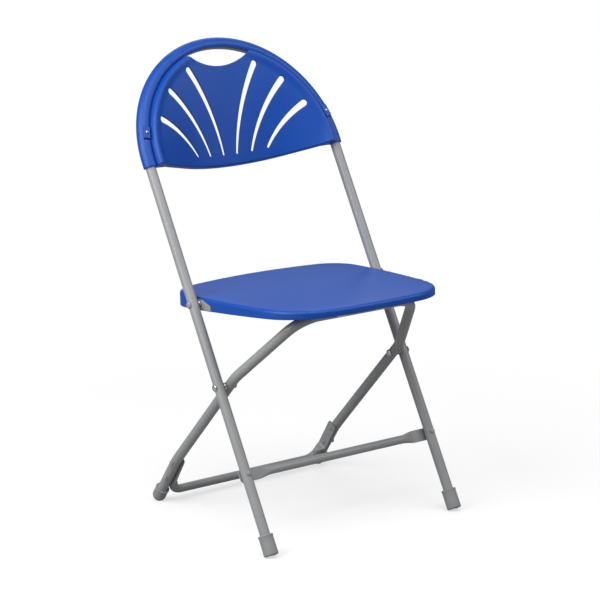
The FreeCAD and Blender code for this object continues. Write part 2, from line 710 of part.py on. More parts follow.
def bracket_outline(grow):
    """Side view of a hinge bracket, or of the recess round it."""
    low = SEAT_TOP - SKIRT_REAR
    points = [(-BRACKET_FRONT, low), (-BRACKET_FRONT, BRACKET_TOP - BRACKET_NOSE),
              (-BRACKET_REAR / 2, BRACKET_TOP), (BRACKET_REAR, BRACKET_TOP), (BRACKET_REAR, low)]
    wire = Part.makePolygon([Vector(0, y, z) for y, z in points + points[:1]])
    return Part.Face(wire.makeOffset2D(grow) if grow else wire)


def bracket_pads(sign):
    """Screw places of a hinge bracket, on its flange."""
    x = sign * (SEAT_HALF_WIDTH - BRACKET_FLANGE / 2 - BRACKET_T)
    return [Vector(x, y, BRACKET_TOP - BRACKET_T) for y in BRACKET_SCREWS]


def screw_holes(points):
    """Holes for the seat screws, upwards from the places where their heads sit."""
    return [pin(point, point + Z_AXIS * SCREW_BITE, SCREW_D + 2 * PIN_CLEAR) for point in points]


def seat_screw(point):
    """A screw driven up into the seat."""
    return screw(point, Z_AXIS, SCREW_D, SCREW_HEAD_D, SCREW_HEAD_H, SCREW_BITE)


def seat():
    """Moulded seat: a plate with a skirt all round, ribs below and seats for its hardware."""
    low = SEAT_TOP - SKIRT_REAR - SKIRT_T
    blank = seat_blank(0, low, SEAT_TOP)
    top_edges = [edge for edge in blank.Edges if abs(edge.BoundBox.ZMin - SEAT_TOP) < PIN_CLEAR]
    blank = blank.makeFillet(SEAT_EDGE_R, top_edges)
    hollow = seat_blank(SKIRT_T, low, PLATE_UNDER)
    shell = blank.cut([hollow, skirt_cutter()])
    inside = seat_blank(SKIRT_T / 2, PAD_FACE, PLATE_UNDER + SEAT_PLATE_T / 2)
    ribs = []
    count = int(SEAT_HALF_WIDTH / RIB_PITCH)
    for step in range(-count, count + 1):
        x = step * RIB_PITCH
        ribs.append(block((x - RIB_T / 2, x + RIB_T / 2), (-SEAT_FRONT, SEAT_REAR), (PAD_FACE, SEAT_TOP)))
    rows = int((SEAT_FRONT + SEAT_REAR) / RIB_PITCH)
    for step in range(1, rows + 1):
        y = SEAT_REAR - step * RIB_PITCH
        ribs.append(block((-BIG, BIG), (y - RIB_T / 2, y + RIB_T / 2), (PAD_FACE, SEAT_TOP)))
    for sign in (-1, 1):
        ribs.append(block((sign * CLIP_AT - CLIP_WIDTH / 2, sign * CLIP_AT + CLIP_WIDTH / 2),
                          (SADDLE_Y - TUBE_R, SADDLE_Y + CLIP_TAB), (PAD_FACE, SEAT_TOP)))
    frame = ribs[0].fuse(ribs[1:]).common(inside)
    cuts = []
    for sign in (-1, 1):
        depth = SKIRT_T + BRACKET_T
        wall = bracket_outline(SEAT_FIT).extrude(X_AXIS * (2 * depth))
        cuts.append(place(wall, Placement(X_AXIS * (sign * SEAT_HALF_WIDTH - depth), Rotation())))
        inner = SEAT_HALF_WIDTH - BRACKET_FLANGE - 2 * SKIRT_T
        xs = sorted((sign * inner, sign * (SEAT_HALF_WIDTH - SKIRT_T)))
        cuts.append(block(xs, (-BRACKET_FRONT, BRACKET_REAR + SKIRT_T), (-BIG, BRACKET_TOP)))
    screw_points = bracket_pads(-1) + bracket_pads(1) + clip_screw_points()
    pads = []
    for sign in (-1, 1):
        xs = sorted((sign * (SEAT_HALF_WIDTH - BRACKET_FLANGE), sign * (SEAT_HALF_WIDTH - SKIRT_T / 2)))
        pads.append(block(xs, (-BRACKET_REAR / 2, BRACKET_REAR), (BRACKET_TOP, PLATE_UNDER + SKIRT_T / 2)))
    body = shell.fuse(frame).cut(cuts).fuse(pads).cut(screw_holes(screw_points))
    return place(body.removeSplitter(), SEAT)


def hinge_bracket(sign):
    """Steel angle: a cheek let into the skirt on the pivot, and a flange screwed below the seat."""
    cheek = bracket_outline(0).extrude(X_AXIS * (sign * BRACKET_T))
    cheek = place(cheek, Placement(Vector(sign * (SEAT_HALF_WIDTH - BRACKET_T), 0, 0), Rotation()))
    xs = sorted((sign * (SEAT_HALF_WIDTH - BRACKET_FLANGE), sign * SEAT_HALF_WIDTH))
    flange = block(xs, (-BRACKET_REAR / 2, BRACKET_REAR), (BRACKET_TOP - BRACKET_T, BRACKET_TOP))
    across = X_AXIS * BIG
    pivot_hole = pin(across * -1, across, SEAT_PIN_D + 2 * PIN_CLEAR)
    cuts = screw_holes(bracket_pads(sign)) + [pivot_hole, skirt_cutter()]
    return place(cheek.fuse(flange).cut(cuts).removeSplitter(), SEAT)


def hinge_bracket_screws():
    """Screws through the bracket flanges into the seat."""
    screws = [seat_screw(point) for point in bracket_pads(-1) + bracket_pads(1)]
    return place(Part.makeCompound(screws), SEAT)


def clip_screw_points():
    """Screw places on the tabs of the saddle clips."""
    return [Vector(sign * CLIP_AT, SADDLE_Y + CLIP_SCREW_AT, PAD_FACE - CLIP_T) for sign in (-1, 1)]


def saddle_clip(sign):
    """Steel hook that sits on the cross tube from above and laps over its front."""
    inner = TUBE_R + CLIP_CLEAR
    outer = inner + CLIP_T
    centre = Vector(0, SADDLE_Y, SADDLE_Z)

    def on_hook(radius, angle):
        return centre + turned(-angle) * radius

    tab_low = Vector(0, SADDLE_Y + CLIP_TAB, SADDLE_Z + inner)
    tab_high = Vector(0, SADDLE_Y + CLIP_TAB, SADDLE_Z + outer)
    edges = [
        Part.Arc(on_hook(outer, 0), on_hook(outer, CLIP_WRAP / 2), on_hook(outer, CLIP_WRAP)).toShape(),
        Part.LineSegment(on_hook(outer, CLIP_WRAP), on_hook(inner, CLIP_WRAP)).toShape(),
        Part.Arc(on_hook(inner, CLIP_WRAP), on_hook(inner, CLIP_WRAP / 2), on_hook(inner, 0)).toShape(),
        Part.LineSegment(on_hook(inner, 0), tab_low).toShape(),
        Part.LineSegment(tab_low, tab_high).toShape(),
        Part.LineSegment(tab_high, on_hook(outer, 0)).toShape(),
    ]
    strip = Part.Face(Part.Wire(edges)).extrude(X_AXIS * CLIP_WIDTH)
    strip = place(strip, Placement(Vector(sign * CLIP_AT - CLIP_WIDTH / 2, 0, 0), Rotation()))
    return place(strip.cut(screw_holes(clip_screw_points())), SEAT)


def saddle_clip_screws():
    """One screw through each saddle clip into the seat."""
    screws = [seat_screw(point) for point in clip_screw_points()]
    return place(Part.makeCompound(screws), SEAT)


def build():
    """Every piece of the chair by name, standing over the origin."""
    nodes = {
        "front_frame_tube": front_frame_tube(),
        "backrest": backrest(),
        "backrest_screws": backrest_screws(),
        "front_crossbar": front_crossbar(),
        "front_crossbar_rivets": front_crossbar_rivets(),
        "rear_leg_frame": rear_leg_frame(),
        "rear_crossbar": rear_crossbar(),
        "rear_crossbar_rivets": rear_crossbar_rivets(),
        "seat": seat(),
        "hinge_bracket_screws": hinge_bracket_screws(),
        "saddle_clip_screws": saddle_clip_screws(),
    }
    for name, sign in (("left", 1), ("right", -1)):
        nodes["foot_cap_front_" + name] = foot_cap_front(sign * HALF)
        nodes["foot_cap_rear_" + name] = foot_cap_rear(sign * REAR_HALF)
        nodes["leg_pivot_rivet_" + name] = leg_pivot_rivet(sign)
        nodes["leg_pivot_spacer_" + name] = leg_pivot_spacer(sign)
        nodes["seat_pivot_rivet_" + name] = seat_pivot_rivet(sign)
        nodes["seat_pivot_washer_" + name] = seat_pivot_washer(sign)
        nodes["hinge_bracket_" + name] = hinge_bracket(sign)
        nodes["saddle_clip_" + name] = saddle_clip(sign)
    box = Part.makeCompound(list(nodes.values())).optimalBoundingBox(False)
    shift = Vector(0, -(box.YMin + box.YMax) / 2, 0)
    for shape in nodes.values():
        shape.translate(shift)
    return nodes, shift


def main():
    """Writes one file for each piece and prints the places that the joints turn on."""
    os.makedirs("parts", exist_ok=True)
    nodes, shift = build()
    for name, shape in nodes.items():
        shape.exportStep("parts/" + name + ".step")
    for name, point in (("leg pivot", LEG_PIVOT), ("seat pivot", SEAT_PIVOT), ("cross tube", CROSS_TUBE)):
        moved = point + shift
        print(name, "y", round(moved.y, 4), "z", round(moved.z, 4))


main()
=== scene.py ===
"""Folding chair with a fan back: smooth tubes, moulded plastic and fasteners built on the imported
frame."""

import json
import math

import bmesh
import bpy
import numpy as np
from bpy.props import FloatProperty, FloatVectorProperty, PointerProperty
from bpy.types import Operator, Panel, PropertyGroup
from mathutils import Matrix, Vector
from mathutils.geometry import delaunay_2d_cdt


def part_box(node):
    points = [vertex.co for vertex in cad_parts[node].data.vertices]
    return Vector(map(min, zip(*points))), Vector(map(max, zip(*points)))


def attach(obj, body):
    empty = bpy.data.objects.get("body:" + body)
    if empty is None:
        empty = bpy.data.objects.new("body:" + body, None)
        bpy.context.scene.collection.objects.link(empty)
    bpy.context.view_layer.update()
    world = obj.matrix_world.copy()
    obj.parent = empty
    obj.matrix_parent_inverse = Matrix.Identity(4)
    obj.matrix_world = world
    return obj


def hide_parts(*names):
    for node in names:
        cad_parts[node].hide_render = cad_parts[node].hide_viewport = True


bl_info = {
    "name": "Folding chair with a fan back",
    "version": (1, 0, 0),
    "blender": (4, 5, 0),
    "location": "View3D > Sidebar > Chair",
    "description": "Builds the bent, moulded and riveted pieces of a folding chair on its packed frame",
    "category": "Add Mesh",
}

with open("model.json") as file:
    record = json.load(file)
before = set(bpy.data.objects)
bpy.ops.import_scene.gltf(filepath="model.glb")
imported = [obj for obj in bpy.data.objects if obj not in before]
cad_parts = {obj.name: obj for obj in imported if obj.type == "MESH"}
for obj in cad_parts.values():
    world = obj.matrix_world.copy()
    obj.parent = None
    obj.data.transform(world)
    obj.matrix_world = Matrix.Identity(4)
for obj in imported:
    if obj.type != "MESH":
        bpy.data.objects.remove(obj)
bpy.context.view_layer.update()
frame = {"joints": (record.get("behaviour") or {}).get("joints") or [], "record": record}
BODY_OF = {node: body for body, nodes in frame["record"]["behaviour"]["bodies"].items() for node in nodes}
PIVOTS = {joint["name"]: np.array(joint["pos_m"]) for joint in frame["joints"]}
MM = 0.001
SIDES = (("left", 1), ("right", -1))
WELD = 2e-6
SMOOTH_ANGLE = math.radians(38)
ARC_STEP = math.radians(3)
RING = 48
# Each slot of the fan: turn of its upper end round the arch, sideways place of its foot, and bow
SLOTS = ((65.1, 15.7, 9.3), (44.5, 48.6, 9.6), (24.3, 82.1, 7.8))
# Each step of the bead round a cap's mouth: change of radius and distance below the mouth, in millimetres
FRONT_BEAD = ((-0.2, 4.6), (0.0, 3.6), (0.5, 2.6), (0.5, 1.0), (-0.2, 0.0))
REAR_BEAD = ((-0.3, 5.0), (-0.2, 4.0), (0.5, 3.0), (0.5, 1.0), (-0.3, 0.0))


def length(name, millimetres, description):
    """A length property, with its default written in millimetres."""
    return FloatProperty(name=name, description=description, default=millimetres * MM, unit="LENGTH")


def angle(name, degrees, description):
    """An angle property, with its default written in degrees."""
    return FloatProperty(name=name, description=description, default=math.radians(degrees), subtype="ANGLE")


def colour(name, red, green, blue, description):
    """A colour property, as linear red, green and blue."""
    return FloatVectorProperty(name=name, description=description, default=(red, green, blue),
                               subtype="COLOR", min=0.0, max=1.0)


class ChairTubes(PropertyGroup):
    """Tubes, crossbars, caps and rivets of the frame."""

    tube: length("Tube", 19.0, "Outer diameter of the frame tube")
    arch_start: length("Arch start", 757.0, "Where the half circle of the arch starts, along the upright")
    bar: length("Crossbar", 15.9, "Outer diameter of the crossbars")
    plate: length("Plate", 2.6, "Thickness of a crossbar end that is pressed flat")
    front_bar: length("Front crossbar", 155.0, "Place of the front crossbar along the leg")
    front_flat: length("Front flat", 40.0, "Length of the front crossbar's flat end")
    front_taper: length("Front taper", 27.0, "Length over which the front crossbar turns from round to flat")
    front_over: length("Front overhang", 8.0, "How far the flat end passes the leg's middle")
    bar_lean: angle("Rear crossbar lean", 32.1, "Lean of the rear crossbar's flat ends from upright")
    bar_drop: length("Rear crossbar drop", 88.0, "Depth of the rear crossbar's U below the bend of the leg")
    bar_bend: length("Rear crossbar bend", 23.7, "Bend radius of the rear crossbar's corners")
    bar_taper: length("Rear taper", 13.0, "Length over which the rear crossbar turns from round to flat")
    bar_rise: length("Rear plate rise", 6.0, "How far the flat ends reach above the bend of the leg")
    neck: length("Neck", 25.0, "Height of the rear legs' neck bend above the leg pivot")
    top_half: length("Half top", 129.0, "Half the width of the rear legs' U, between its upper corners")
    neck_bend: length("Neck bend", 60.0, "Bend radius of the rear legs' neck")
    top_bend: length("Top bend", 58.0, "Bend radius of the rear legs' upper corners")
    foot_height: length("Foot bend height", 92.9, "Height of the bend above the rear feet")
    foot_bend: length("Foot bend", 120.0, "Bend radius above the rear feet")
    foot_lean: angle("Foot lean", 35.4, "Lean of the rear feet from upright")
    rivet: length("Rivet head", 10.0, "Head diameter of the crossbar rivets")
    pivot_head: length("Pivot head", 13.0, "Head diameter of the pivot rivets")
    pivot_height: length("Pivot head height", 3.2, "Height of a pivot rivet's heads")
    leg_shank: length("Leg pivot shank", 8.0, "Shank diameter of the leg pivots")
    seat_shank: length("Seat pivot shank", 7.0, "Shank diameter of the seat pivots")
    seat_tail: length("Seat pivot tail", 9.6, "Diameter of the seat pivots' inner heads")
    ring_edge: length("Ring edge", 0.6, "Chamfer of the bushes and washers")
    rivet_shank: length("Rivet shank", 5.0, "Shank diameter of the crossbar rivets")
    rivet_height: length("Rivet height", 2.4, "Height of a crossbar rivet's heads")
    upper_rivet: length("Upper rivet", 4.5, "Rear crossbar's upper rivets, below the bend of the leg")
    lower_rivet: length("Lower rivet", 44.5, "Rear crossbar's lower rivets, below the bend of the leg")
    front_cap: length("Front cap", 13.5, "Outer radius of the front caps")
    front_cap_tall: length("Front cap height", 38.0, "Length of the front caps along the leg")
    front_cap_edge: length("Front cap edge", 2.4, "Rounding of the front caps' lower edge")
    rear_cap: length("Rear cap", 13.0, "Outer radius of the rear caps")
    rear_cap_tall: length("Rear cap height", 19.4, "Length of the rear caps above their round ends")
    cap_lift: length("Cap lift", 3.0, "Height of a front cap's middle above the floor")
    cap_floor: length("Cap floor", 8.0, "Depth of plastic below the tube in a front cap")


class ChairBack(PropertyGroup):
    """Moulded fan back, measured along the upright and forward of the tube centres."""

    bottom: length("Bottom", 745.0, "Lower edge of the back, along the upright")
    rim: length("Rim", 13.0, "Outer radius of the rim over the tube")
    bore: length("Bore", 9.8, "Inner radius of the rim over the tube")
    rim_lip: length("Rim lip", 5.0, "How far the rim laps behind the tube centre")
    panel: length("Panel", 4.0, "Thickness of the fan panel")
    foot_radius: length("Foot radius", 279.0, "Radius of the dished panel at its lower edge")
    wing: angle("Wing", 24.6, "Slope of the panel's straight wings at its lower edge")
    flat_height: length("Flat height", 289.0, "Height above the lower edge at which the panel would be flat")
    tilt: angle("Panel tilt", 18.66, "Tilt of the panel's middle against the upright")
    set_back: length("Set back", 49.2, "How far the panel's lower middle lies behind the tubes")
    level: length("Crest level", 21.0, "Height of the border's crest in front of the tubes")
    soft: length("Crest blend", 5.0, "Blend between the panel, the border's slopes and its crest")
    border: length("Border inset", 9.0, "Distance from the tube centre to the foot of the border's flank")
    crest_outer: length("Crest outer", 12.8, "Distance from the tube centre to the outer edge of the crest")
    crest_inner: length("Crest inner", 20.0, "Distance from the tube centre to the inner edge of the crest")
    border_reach: length("Border reach", 25.5, "Distance from the tube centre to the panel's net")
    flank: FloatProperty(name="Flank", description="Steepness of the border's outer flank", default=2.9)
    slit: length("Slit", 2.0, "Depth of the slit between the rim and the border")
    flange: length("Flange", 12.0, "Depth of the wall along the lower edge")
    foot_edge: length("Foot edge", 3.0, "Rounding of the panel's lower edge")
    grip_inset: length("Grip inset", 8.5, "How far the rim laps below the tube centre over the hand hole")
    edge: length("Edge", 0.6, "Rounding of the slots and of the hand hole")
    handle_half: length("Hand hole half", 71.0, "Half the width of the hand hole")
    handle_top: length("Hand hole tips", 946.5, "Height of the hand hole's tips")
    handle_foot: length("Hand hole foot", 924.0, "Height of the hand hole's lower middle")
    slot_top: length("Slot top", 12.6, "Slot width at its upper end")
    slot_foot: length("Slot foot", 5.2, "Slot width at its lower end")
    slot_rise: length("Slot rise", 21.3, "Height of the slots' feet above the lower edge")
    slot_inset: length("Slot inset", 34.7, "Distance from the tube centre to the slots' upper ends")
    boss_height: length("Boss height", 53.0, "Height of the screw bosses above the start of the arch")
    boss_width: length("Boss width", 13.0, "Width of a screw boss across the rim")
    boss_length: length("Boss length", 24.0, "Length of a screw boss along the rim")
    boss_proud: length("Boss proud", 1.5, "How far a screw boss stands out of the rim")
    moat: length("Moat", 2.2, "Width of the sunk line beside a screw boss")
    moat_foot: length("Moat foot", 2.6, "Width of the sunk line below a screw boss")
    moat_depth: length("Moat depth", 2.4, "Depth of the sunk lines round a screw boss")
    rim_edge: length("Rim edge", 0.8, "Rounding of the rim's lower end")


class ChairSeat(PropertyGroup):
    """Moulded seat and its hardware, measured from the seat pivot."""

    tilt: angle("Tilt", 3.0, "Backward tilt of the seat")
    top: length("Top", 13.5, "Height of the seat's top above the pivot")
    half: length("Half width", 201.5, "Half the width of the seat")
    widest: length("Widest place", 6.6, "Where the seat is widest, rearward of the pivot")
    front: length("Front", 270.0, "Distance from the pivot to the front edge")
    rear: length("Rear", 126.0, "Distance from the pivot to the rear edge")
    side_radius: length("Side radius", 1130.0, "Radius of the side edges")
    front_radius: length("Front radius", 1230.0, "Radius of the front edge")
    rear_radius: length("Rear radius", 635.0, "Radius of the rear edge")
    front_corner: length("Front corner", 100.0, "Radius of the front corners")
    rear_corner: length("Rear corner", 70.0, "Radius of the rear corners")
    edge: length("Edge", 6.0, "Rounding of the upper edge")
    foot_round: length("Foot round", 1.2, "Height of the rounding under the skirt")
    fillet: length("Fillet", 2.0, "Fillet between the skirt and the underside")
    crown: length("Crown", 1.6, "Fall of the top from its middle to its edge")
    plate: length("Plate", 4.0, "Thickness of the seat plate")
    skirt: length("Skirt", 3.5, "Thickness of the skirt")
    skirt_front: length("Skirt front", 15.6, "Depth of the skirt at the front")
    skirt_rear: length("Skirt rear", 31.0, "Depth of the skirt at the rear")
    rib: length("Rib", 2.5, "Thickness of the ribs")
    rib_pitch: length("Rib pitch", 62.0, "Distance between ribs")
    rib_depth: length("Rib depth", 7.6, "Depth of the ribs below the plate")
    bracket: length("Bracket", 2.5, "Thickness of the hinge brackets")
    bracket_front: length("Bracket front", 34.0, "Reach of a hinge bracket ahead of the pivot")
    bracket_rear: length("Bracket rear", 20.0, "Reach of a hinge bracket behind the pivot")
    bracket_top: length("Bracket top", 7.7, "Height of a hinge bracket above the pivot")
    bracket_nose: length("Bracket nose", 9.5, "Fall of a hinge bracket to its front end")
    bracket_flange: length("Bracket flange", 36.0, "Width of a hinge bracket's flange")
    clip: length("Clip", 2.0, "Thickness of the saddle clips")
    clip_width: length("Clip width", 24.0, "Width of a saddle clip")
    clip_at: length("Clip place", 44.0, "Distance of a saddle clip from the middle")
    clip_tab: length("Clip tab", 26.0, "Reach of a saddle clip's tab behind the cross tube")
    clip_gap: length("Clip gap", 0.4, "Gap between a saddle clip and the cross tube")
    clip_lip: angle("Clip lip", 120.0, "How far round the cross tube a saddle clip laps")


class ChairFinish(PropertyGroup):
    """Colours of the chair."""

    blue: colour("Blue", 0.003, 0.060, 0.355, "Moulded seat and back")
    blue_worn: colour("Worn blue", 0.010, 0.080, 0.385, "Moulded plastic where it is rubbed")
    grey: colour("Grey", 0.27, 0.274, 0.282, "Powder coat of the tubes")
    grey_pale: colour("Pale grey", 0.33, 0.33, 0.335, "Powder coat where it lies thin")
    cap: colour("Cap", 0.245, 0.249, 0.258, "Foot caps")
    cap_scuffed: colour("Scuffed cap", 0.32, 0.32, 0.325, "Foot caps where the floor has rubbed them")
    zinc: colour("Zinc", 0.62, 0.625, 0.64, "Rivets, screws and clips")
    zinc_dull: colour("Dull zinc", 0.40, 0.40, 0.41, "Rivets, screws and clips where they are dull")
    floor: colour("Floor", 0.38, 0.38, 0.38, "Studio floor, as it lights the chair")
    floor_seen: colour("Floor seen", 1.0, 1.0, 1.0, "Studio floor, as the camera sees it")


class ChairStage(PropertyGroup):
    """Camera of the studio."""

    azimuth: angle("Azimuth", -37.514, "Turn of the camera round the chair")
    elevation: angle("Elevation", 13.646, "Height of the camera above the horizon")
    distance: FloatProperty(name="Distance", description="Camera to target", default=4.6953, unit="LENGTH")
    target: FloatVectorProperty(name="Target", description="Where the camera looks", subtype="TRANSLATION",
                                default=(0.1307, 0.14305, 0.3484))
    lens: FloatProperty(name="Lens", description="Focal length on a 36 mm sensor", default=144.9,
                        subtype="DISTANCE_CAMERA")


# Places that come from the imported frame

LEG_PIVOT = PIVOTS["rear_leg_fold"]
SEAT_PIVOT = PIVOTS["seat_fold"]
LEAN = math.atan2(SEAT_PIVOT[1] - LEG_PIVOT[1], SEAT_PIVOT[2] - LEG_PIVOT[2])
FOOT_Y = LEG_PIVOT[1] - LEG_PIVOT[2] * math.tan(LEAN)
X_AXIS = np.array((1.0, 0.0, 0.0))
ALONG = np.array((0.0, math.sin(LEAN), math.cos(LEAN)))
FORWARD = np.array((0.0, -math.cos(LEAN), math.sin(LEAN)))


def half_spacing(tubes):
    """Distance from the chair's middle to the middle of a front leg."""
    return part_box("front_frame_tube")[1].x - tubes.tube / 2


def rear_half(tubes):
    """Distance from the chair's middle to the middle of a rear leg."""
    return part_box("rear_leg_frame")[1].x - tubes.tube / 2


def cross_tube(tubes):
    """Middle of the cross tube under the seat: the upper front edge of the rear legs."""
    low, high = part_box("rear_leg_frame")
    return np.array((0.0, low.y + tubes.tube / 2, high.z - tubes.tube / 2))


def on_upright(x, along, forward):
    """Points of the leaning upright: the floor line, plus x, plus along and forward times their
    directions."""
    x, along, forward = np.broadcast_arrays(x, along, forward)
    y = FOOT_Y + along * ALONG[1] + forward * FORWARD[1]
    return np.stack((x, y, along * ALONG[2] + forward * FORWARD[2]), -1)


def on_seat(seat, x, y, z):
    """Points of the tilted seat: the pivot, plus x, plus y and z turned back by the tilt."""
    x, y, z = np.broadcast_arrays(x, y, z)
    cos, sin = math.cos(seat.tilt), math.sin(seat.tilt)
    return np.stack((x, SEAT_PIVOT[1] + y * cos + z * sin, SEAT_PIVOT[2] - y * sin + z * cos), -1)


def side(point, x):
    """The same point, moved to a side of the chair."""
    return np.array((x, point[1], point[2]))


def unit(vector):
    """A vector of length one."""
    return vector / np.linalg.norm(vector)


# Surfaces

def sheet(points, wrap=False):
    """Quads over a grid of points: each joins a point to the next in its row and in its column."""
    rows, columns = points.shape[:2]
    row = np.arange(rows - 1)[:, None] * columns
    here = np.arange(columns if wrap else columns - 1)
    then = (here + 1) % columns
    corners = (row + here, row + then, row + columns + then, row + columns + here)
    return points.reshape(-1, 3), np.stack(np.broadcast_arrays(*corners), -1).reshape(-1, 4)


def lid(points):
    """One flat face over a loop of points."""
    return points, np.arange(len(points))[None]


def closed(points):
    """A tube of loops with a lid on each end."""
    return [sheet(points, True), lid(points[0]), lid(points[-1])]


def bent_path(corners, bends):
    """Points and headings of straight runs joined by tangent arcs: an arc is its first point, plus the
    radius times the sine of the turn along the run before it, plus the radius times one less the cosine
    towards its centre."""
    points, headings = [corners[0][None]], [unit(corners[1] - corners[0])[None]]
    for before, corner, after, radius in zip(corners, corners[1:], corners[2:], bends):
        into, out = unit(corner - before), unit(after - corner)
        turn = math.acos(np.clip(into @ out, -1, 1))
        inward = unit(out - into * (into @ out))
        first = corner - into * (radius * math.tan(turn / 2))
        swing = np.linspace(0, turn, math.ceil(turn / ARC_STEP) + 1)[:, None]
        points.append(first + radius * (np.sin(swing) * into + (1 - np.cos(swing)) * inward))
        headings.append(np.cos(swing) * into + np.sin(swing) * inward)
    points.append(corners[-1][None])
    headings.append(unit(corners[-1] - corners[-2])[None])
    points, headings = np.vstack(points), np.vstack(headings)
    keep = np.append(True, np.linalg.norm(np.diff(points, axis=0), axis=1) > WELD)
    return points[keep], headings[keep]


def carried(path, headings, across, profile):
    """A profile carried along a path: the path's point, plus the profile's first value along the
    direction across, made square to the heading, plus its second value along heading times across."""
    first = across - headings * (headings @ across)[:, None]
    first /= np.linalg.norm(first, axis=1)[:, None]
    second = np.cross(headings, first)
    return path[:, None] + profile[..., :1] * first[:, None] + profile[..., 1:] * second[:, None]


def circle(radius, count=RING):
    """A round profile: the radius times the cosine and sine of equal turns."""
    turn = np.arange(count) * (2 * math.pi / count)
    return radius * np.stack((np.cos(turn), np.sin(turn)), -1)


def stadium(thickness, girth, shrink=1.0):
    """Profiles of a tube that is pressed flat: two half circles as wide as the thickness, as far apart
    as the tube's girth leaves. Thickness may be an array, with one profile for each of its values.
    Shrink scales the height."""
    radius = np.atleast_1d(thickness)[:, None] / 2
    apart = (girth / math.pi - 2 * radius) * math.pi / 4
    turn = np.concatenate((np.linspace(0, math.pi, RING // 2), np.linspace(math.pi, 2 * math.pi, RING // 2)))
    away = np.repeat((1.0, -1.0), RING // 2)
    height = (radius * np.sin(turn) + apart * away) * np.reshape(shrink, (-1, 1))
    return np.stack((radius * np.cos(turn), height), -1)


def turned(profile, base, axis, count=RING):
    """A turned surface: each pair of the profile is a radius about the axis and a height along it from
    the base."""
    axis = unit(np.asarray(axis, float))
    first = unit(np.cross(axis, X_AXIS if abs(axis[0]) < 0.9 else FORWARD))
    spokes = circle(1.0, count) @ np.stack((first, np.cross(axis, first)))
    profile = np.asarray(profile, float)
    return base + profile[:, None, :1] * spokes + profile[:, None, 1:] * axis


def quadratic(start, corner, end, count):
    """A smooth bend from start to end that aims at the corner: the weights are (1-t)2, 2t(1-t) and t2."""
    t = np.linspace(0, 1, count)
    mix = [np.stack(np.broadcast_arrays(*pair), -1) for pair in (start, corner, end)]
    return mix[0] * (1 - t)[:, None] ** 2 + mix[1] * (2 * t * (1 - t))[:, None] + mix[2] * t[:, None] ** 2


def eased(share):
    """A smooth step from nought to one: three times the square less twice the cube."""
    share = np.clip(share, 0, 1)
    return share * share * (3 - 2 * share)


def quarter(count):
    """Inset and drop of a rounded edge of radius one, from its face to its side."""
    turn = np.linspace(0, math.pi / 2, count)
    return np.stack((1 - np.sin(turn), 1 - np.cos(turn)), -1)


def rounded_outline(corners, radii, count=6):
    """A closed outline of straight sides with rounded corners: each corner is a quadratic bend of its
    radius."""
    corners = np.asarray(corners, float)
    radii = np.broadcast_to(radii, len(corners))[:, None]
    to_last = np.roll(corners, 1, 0) - corners
    to_next = np.roll(corners, -1, 0) - corners
    start = corners + to_last / np.linalg.norm(to_last, axis=1)[:, None] * radii
    end = corners + to_next / np.linalg.norm(to_next, axis=1)[:, None] * radii
    t = np.linspace(0, 1, count)[None, :, None]
    bends = start[:, None] * (1 - t) ** 2 + corners[:, None] * (2 * t * (1 - t)) + end[:, None] * t ** 2
    return bends.reshape(-1, 2)


def slab(outline, low, high, edge, place):
    """A plate with rounded edges: the outline, drawn in along its normals and stepped from low to high
    by a quarter round on each face. Place turns outline and level arrays into points."""
    along = np.roll(outline, -1, 0) - np.roll(outline, 1, 0)
    inward = np.stack((-along[:, 1], along[:, 0]), -1) / np.linalg.norm(along, axis=1)[:, None]
    if np.sum(outline[:, 0] * along[:, 1] - outline[:, 1] * along[:, 0]) < 0:
        inward = -inward
    round_edge = quarter(5) * edge
    inset = np.concatenate((round_edge[:, 0], round_edge[::-1, 0]))[:, None, None]
    level = np.concatenate((low + round_edge[:, 1], high - round_edge[::-1, 1]))[:, None]
    rings = outline + inward * inset
    return closed(place(rings[..., 0], rings[..., 1], np.broadcast_to(level, rings.shape[:2])))


def piece(name, patches, nodes, finish, body=None):
    """One closed mesh from its patches, welded, with its faces turned outwards, riding on the body of
    its nodes."""
    counts = np.cumsum([0] + [len(points) for points, faces in patches])
    faces = [row for (points, polygons), start in zip(patches, counts)
             for row in (polygons + start).tolist()]
    mesh = bpy.data.meshes.new(name)
    mesh.from_pydata(np.vstack([points for points, polygons in patches]), [], faces)
    shape = bmesh.new()
    shape.from_mesh(mesh)
    bmesh.ops.remove_doubles(shape, verts=shape.verts, dist=WELD)
    bmesh.ops.dissolve_degenerate(shape, edges=shape.edges, dist=WELD)
    bmesh.ops.recalc_face_normals(shape, faces=shape.faces)
    shape.to_mesh(mesh)
    shape.free()
    mesh.shade_smooth()
    mesh.set_sharp_from_angle(angle=SMOOTH_ANGLE)
    mesh.materials.append(finish)
    thing = bpy.data.objects.new(name, mesh)
    bpy.context.scene.collection.objects.link(thing)
    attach(thing, body or BODY_OF[nodes[0]])
    if nodes:
        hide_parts(*nodes)
    return thing


# Finishes

def add(tree, kind, values=(), **settings):
    """A new node with its input values and settings."""
    made = tree.nodes.new(kind)
    for key, value in settings.items():
        setattr(made, key, value)
    for key, value in dict(values).items():
        made.inputs[key].default_value = value
    return made


def new_group(name, inputs, outputs):
    """An empty shader node group with float inputs and outputs, and its two ends."""
    tree = bpy.data.node_groups.new(name, "ShaderNodeTree")
    for socket, default in inputs:
        made = tree.interface.new_socket(socket, in_out="INPUT", socket_type="NodeSocketFloat")
        made.default_value = default
    for socket in outputs:
        tree.interface.new_socket(socket, in_out="OUTPUT", socket_type="NodeSocketFloat")
    return tree, tree.nodes.new("NodeGroupInput"), tree.nodes.new("NodeGroupOutput")


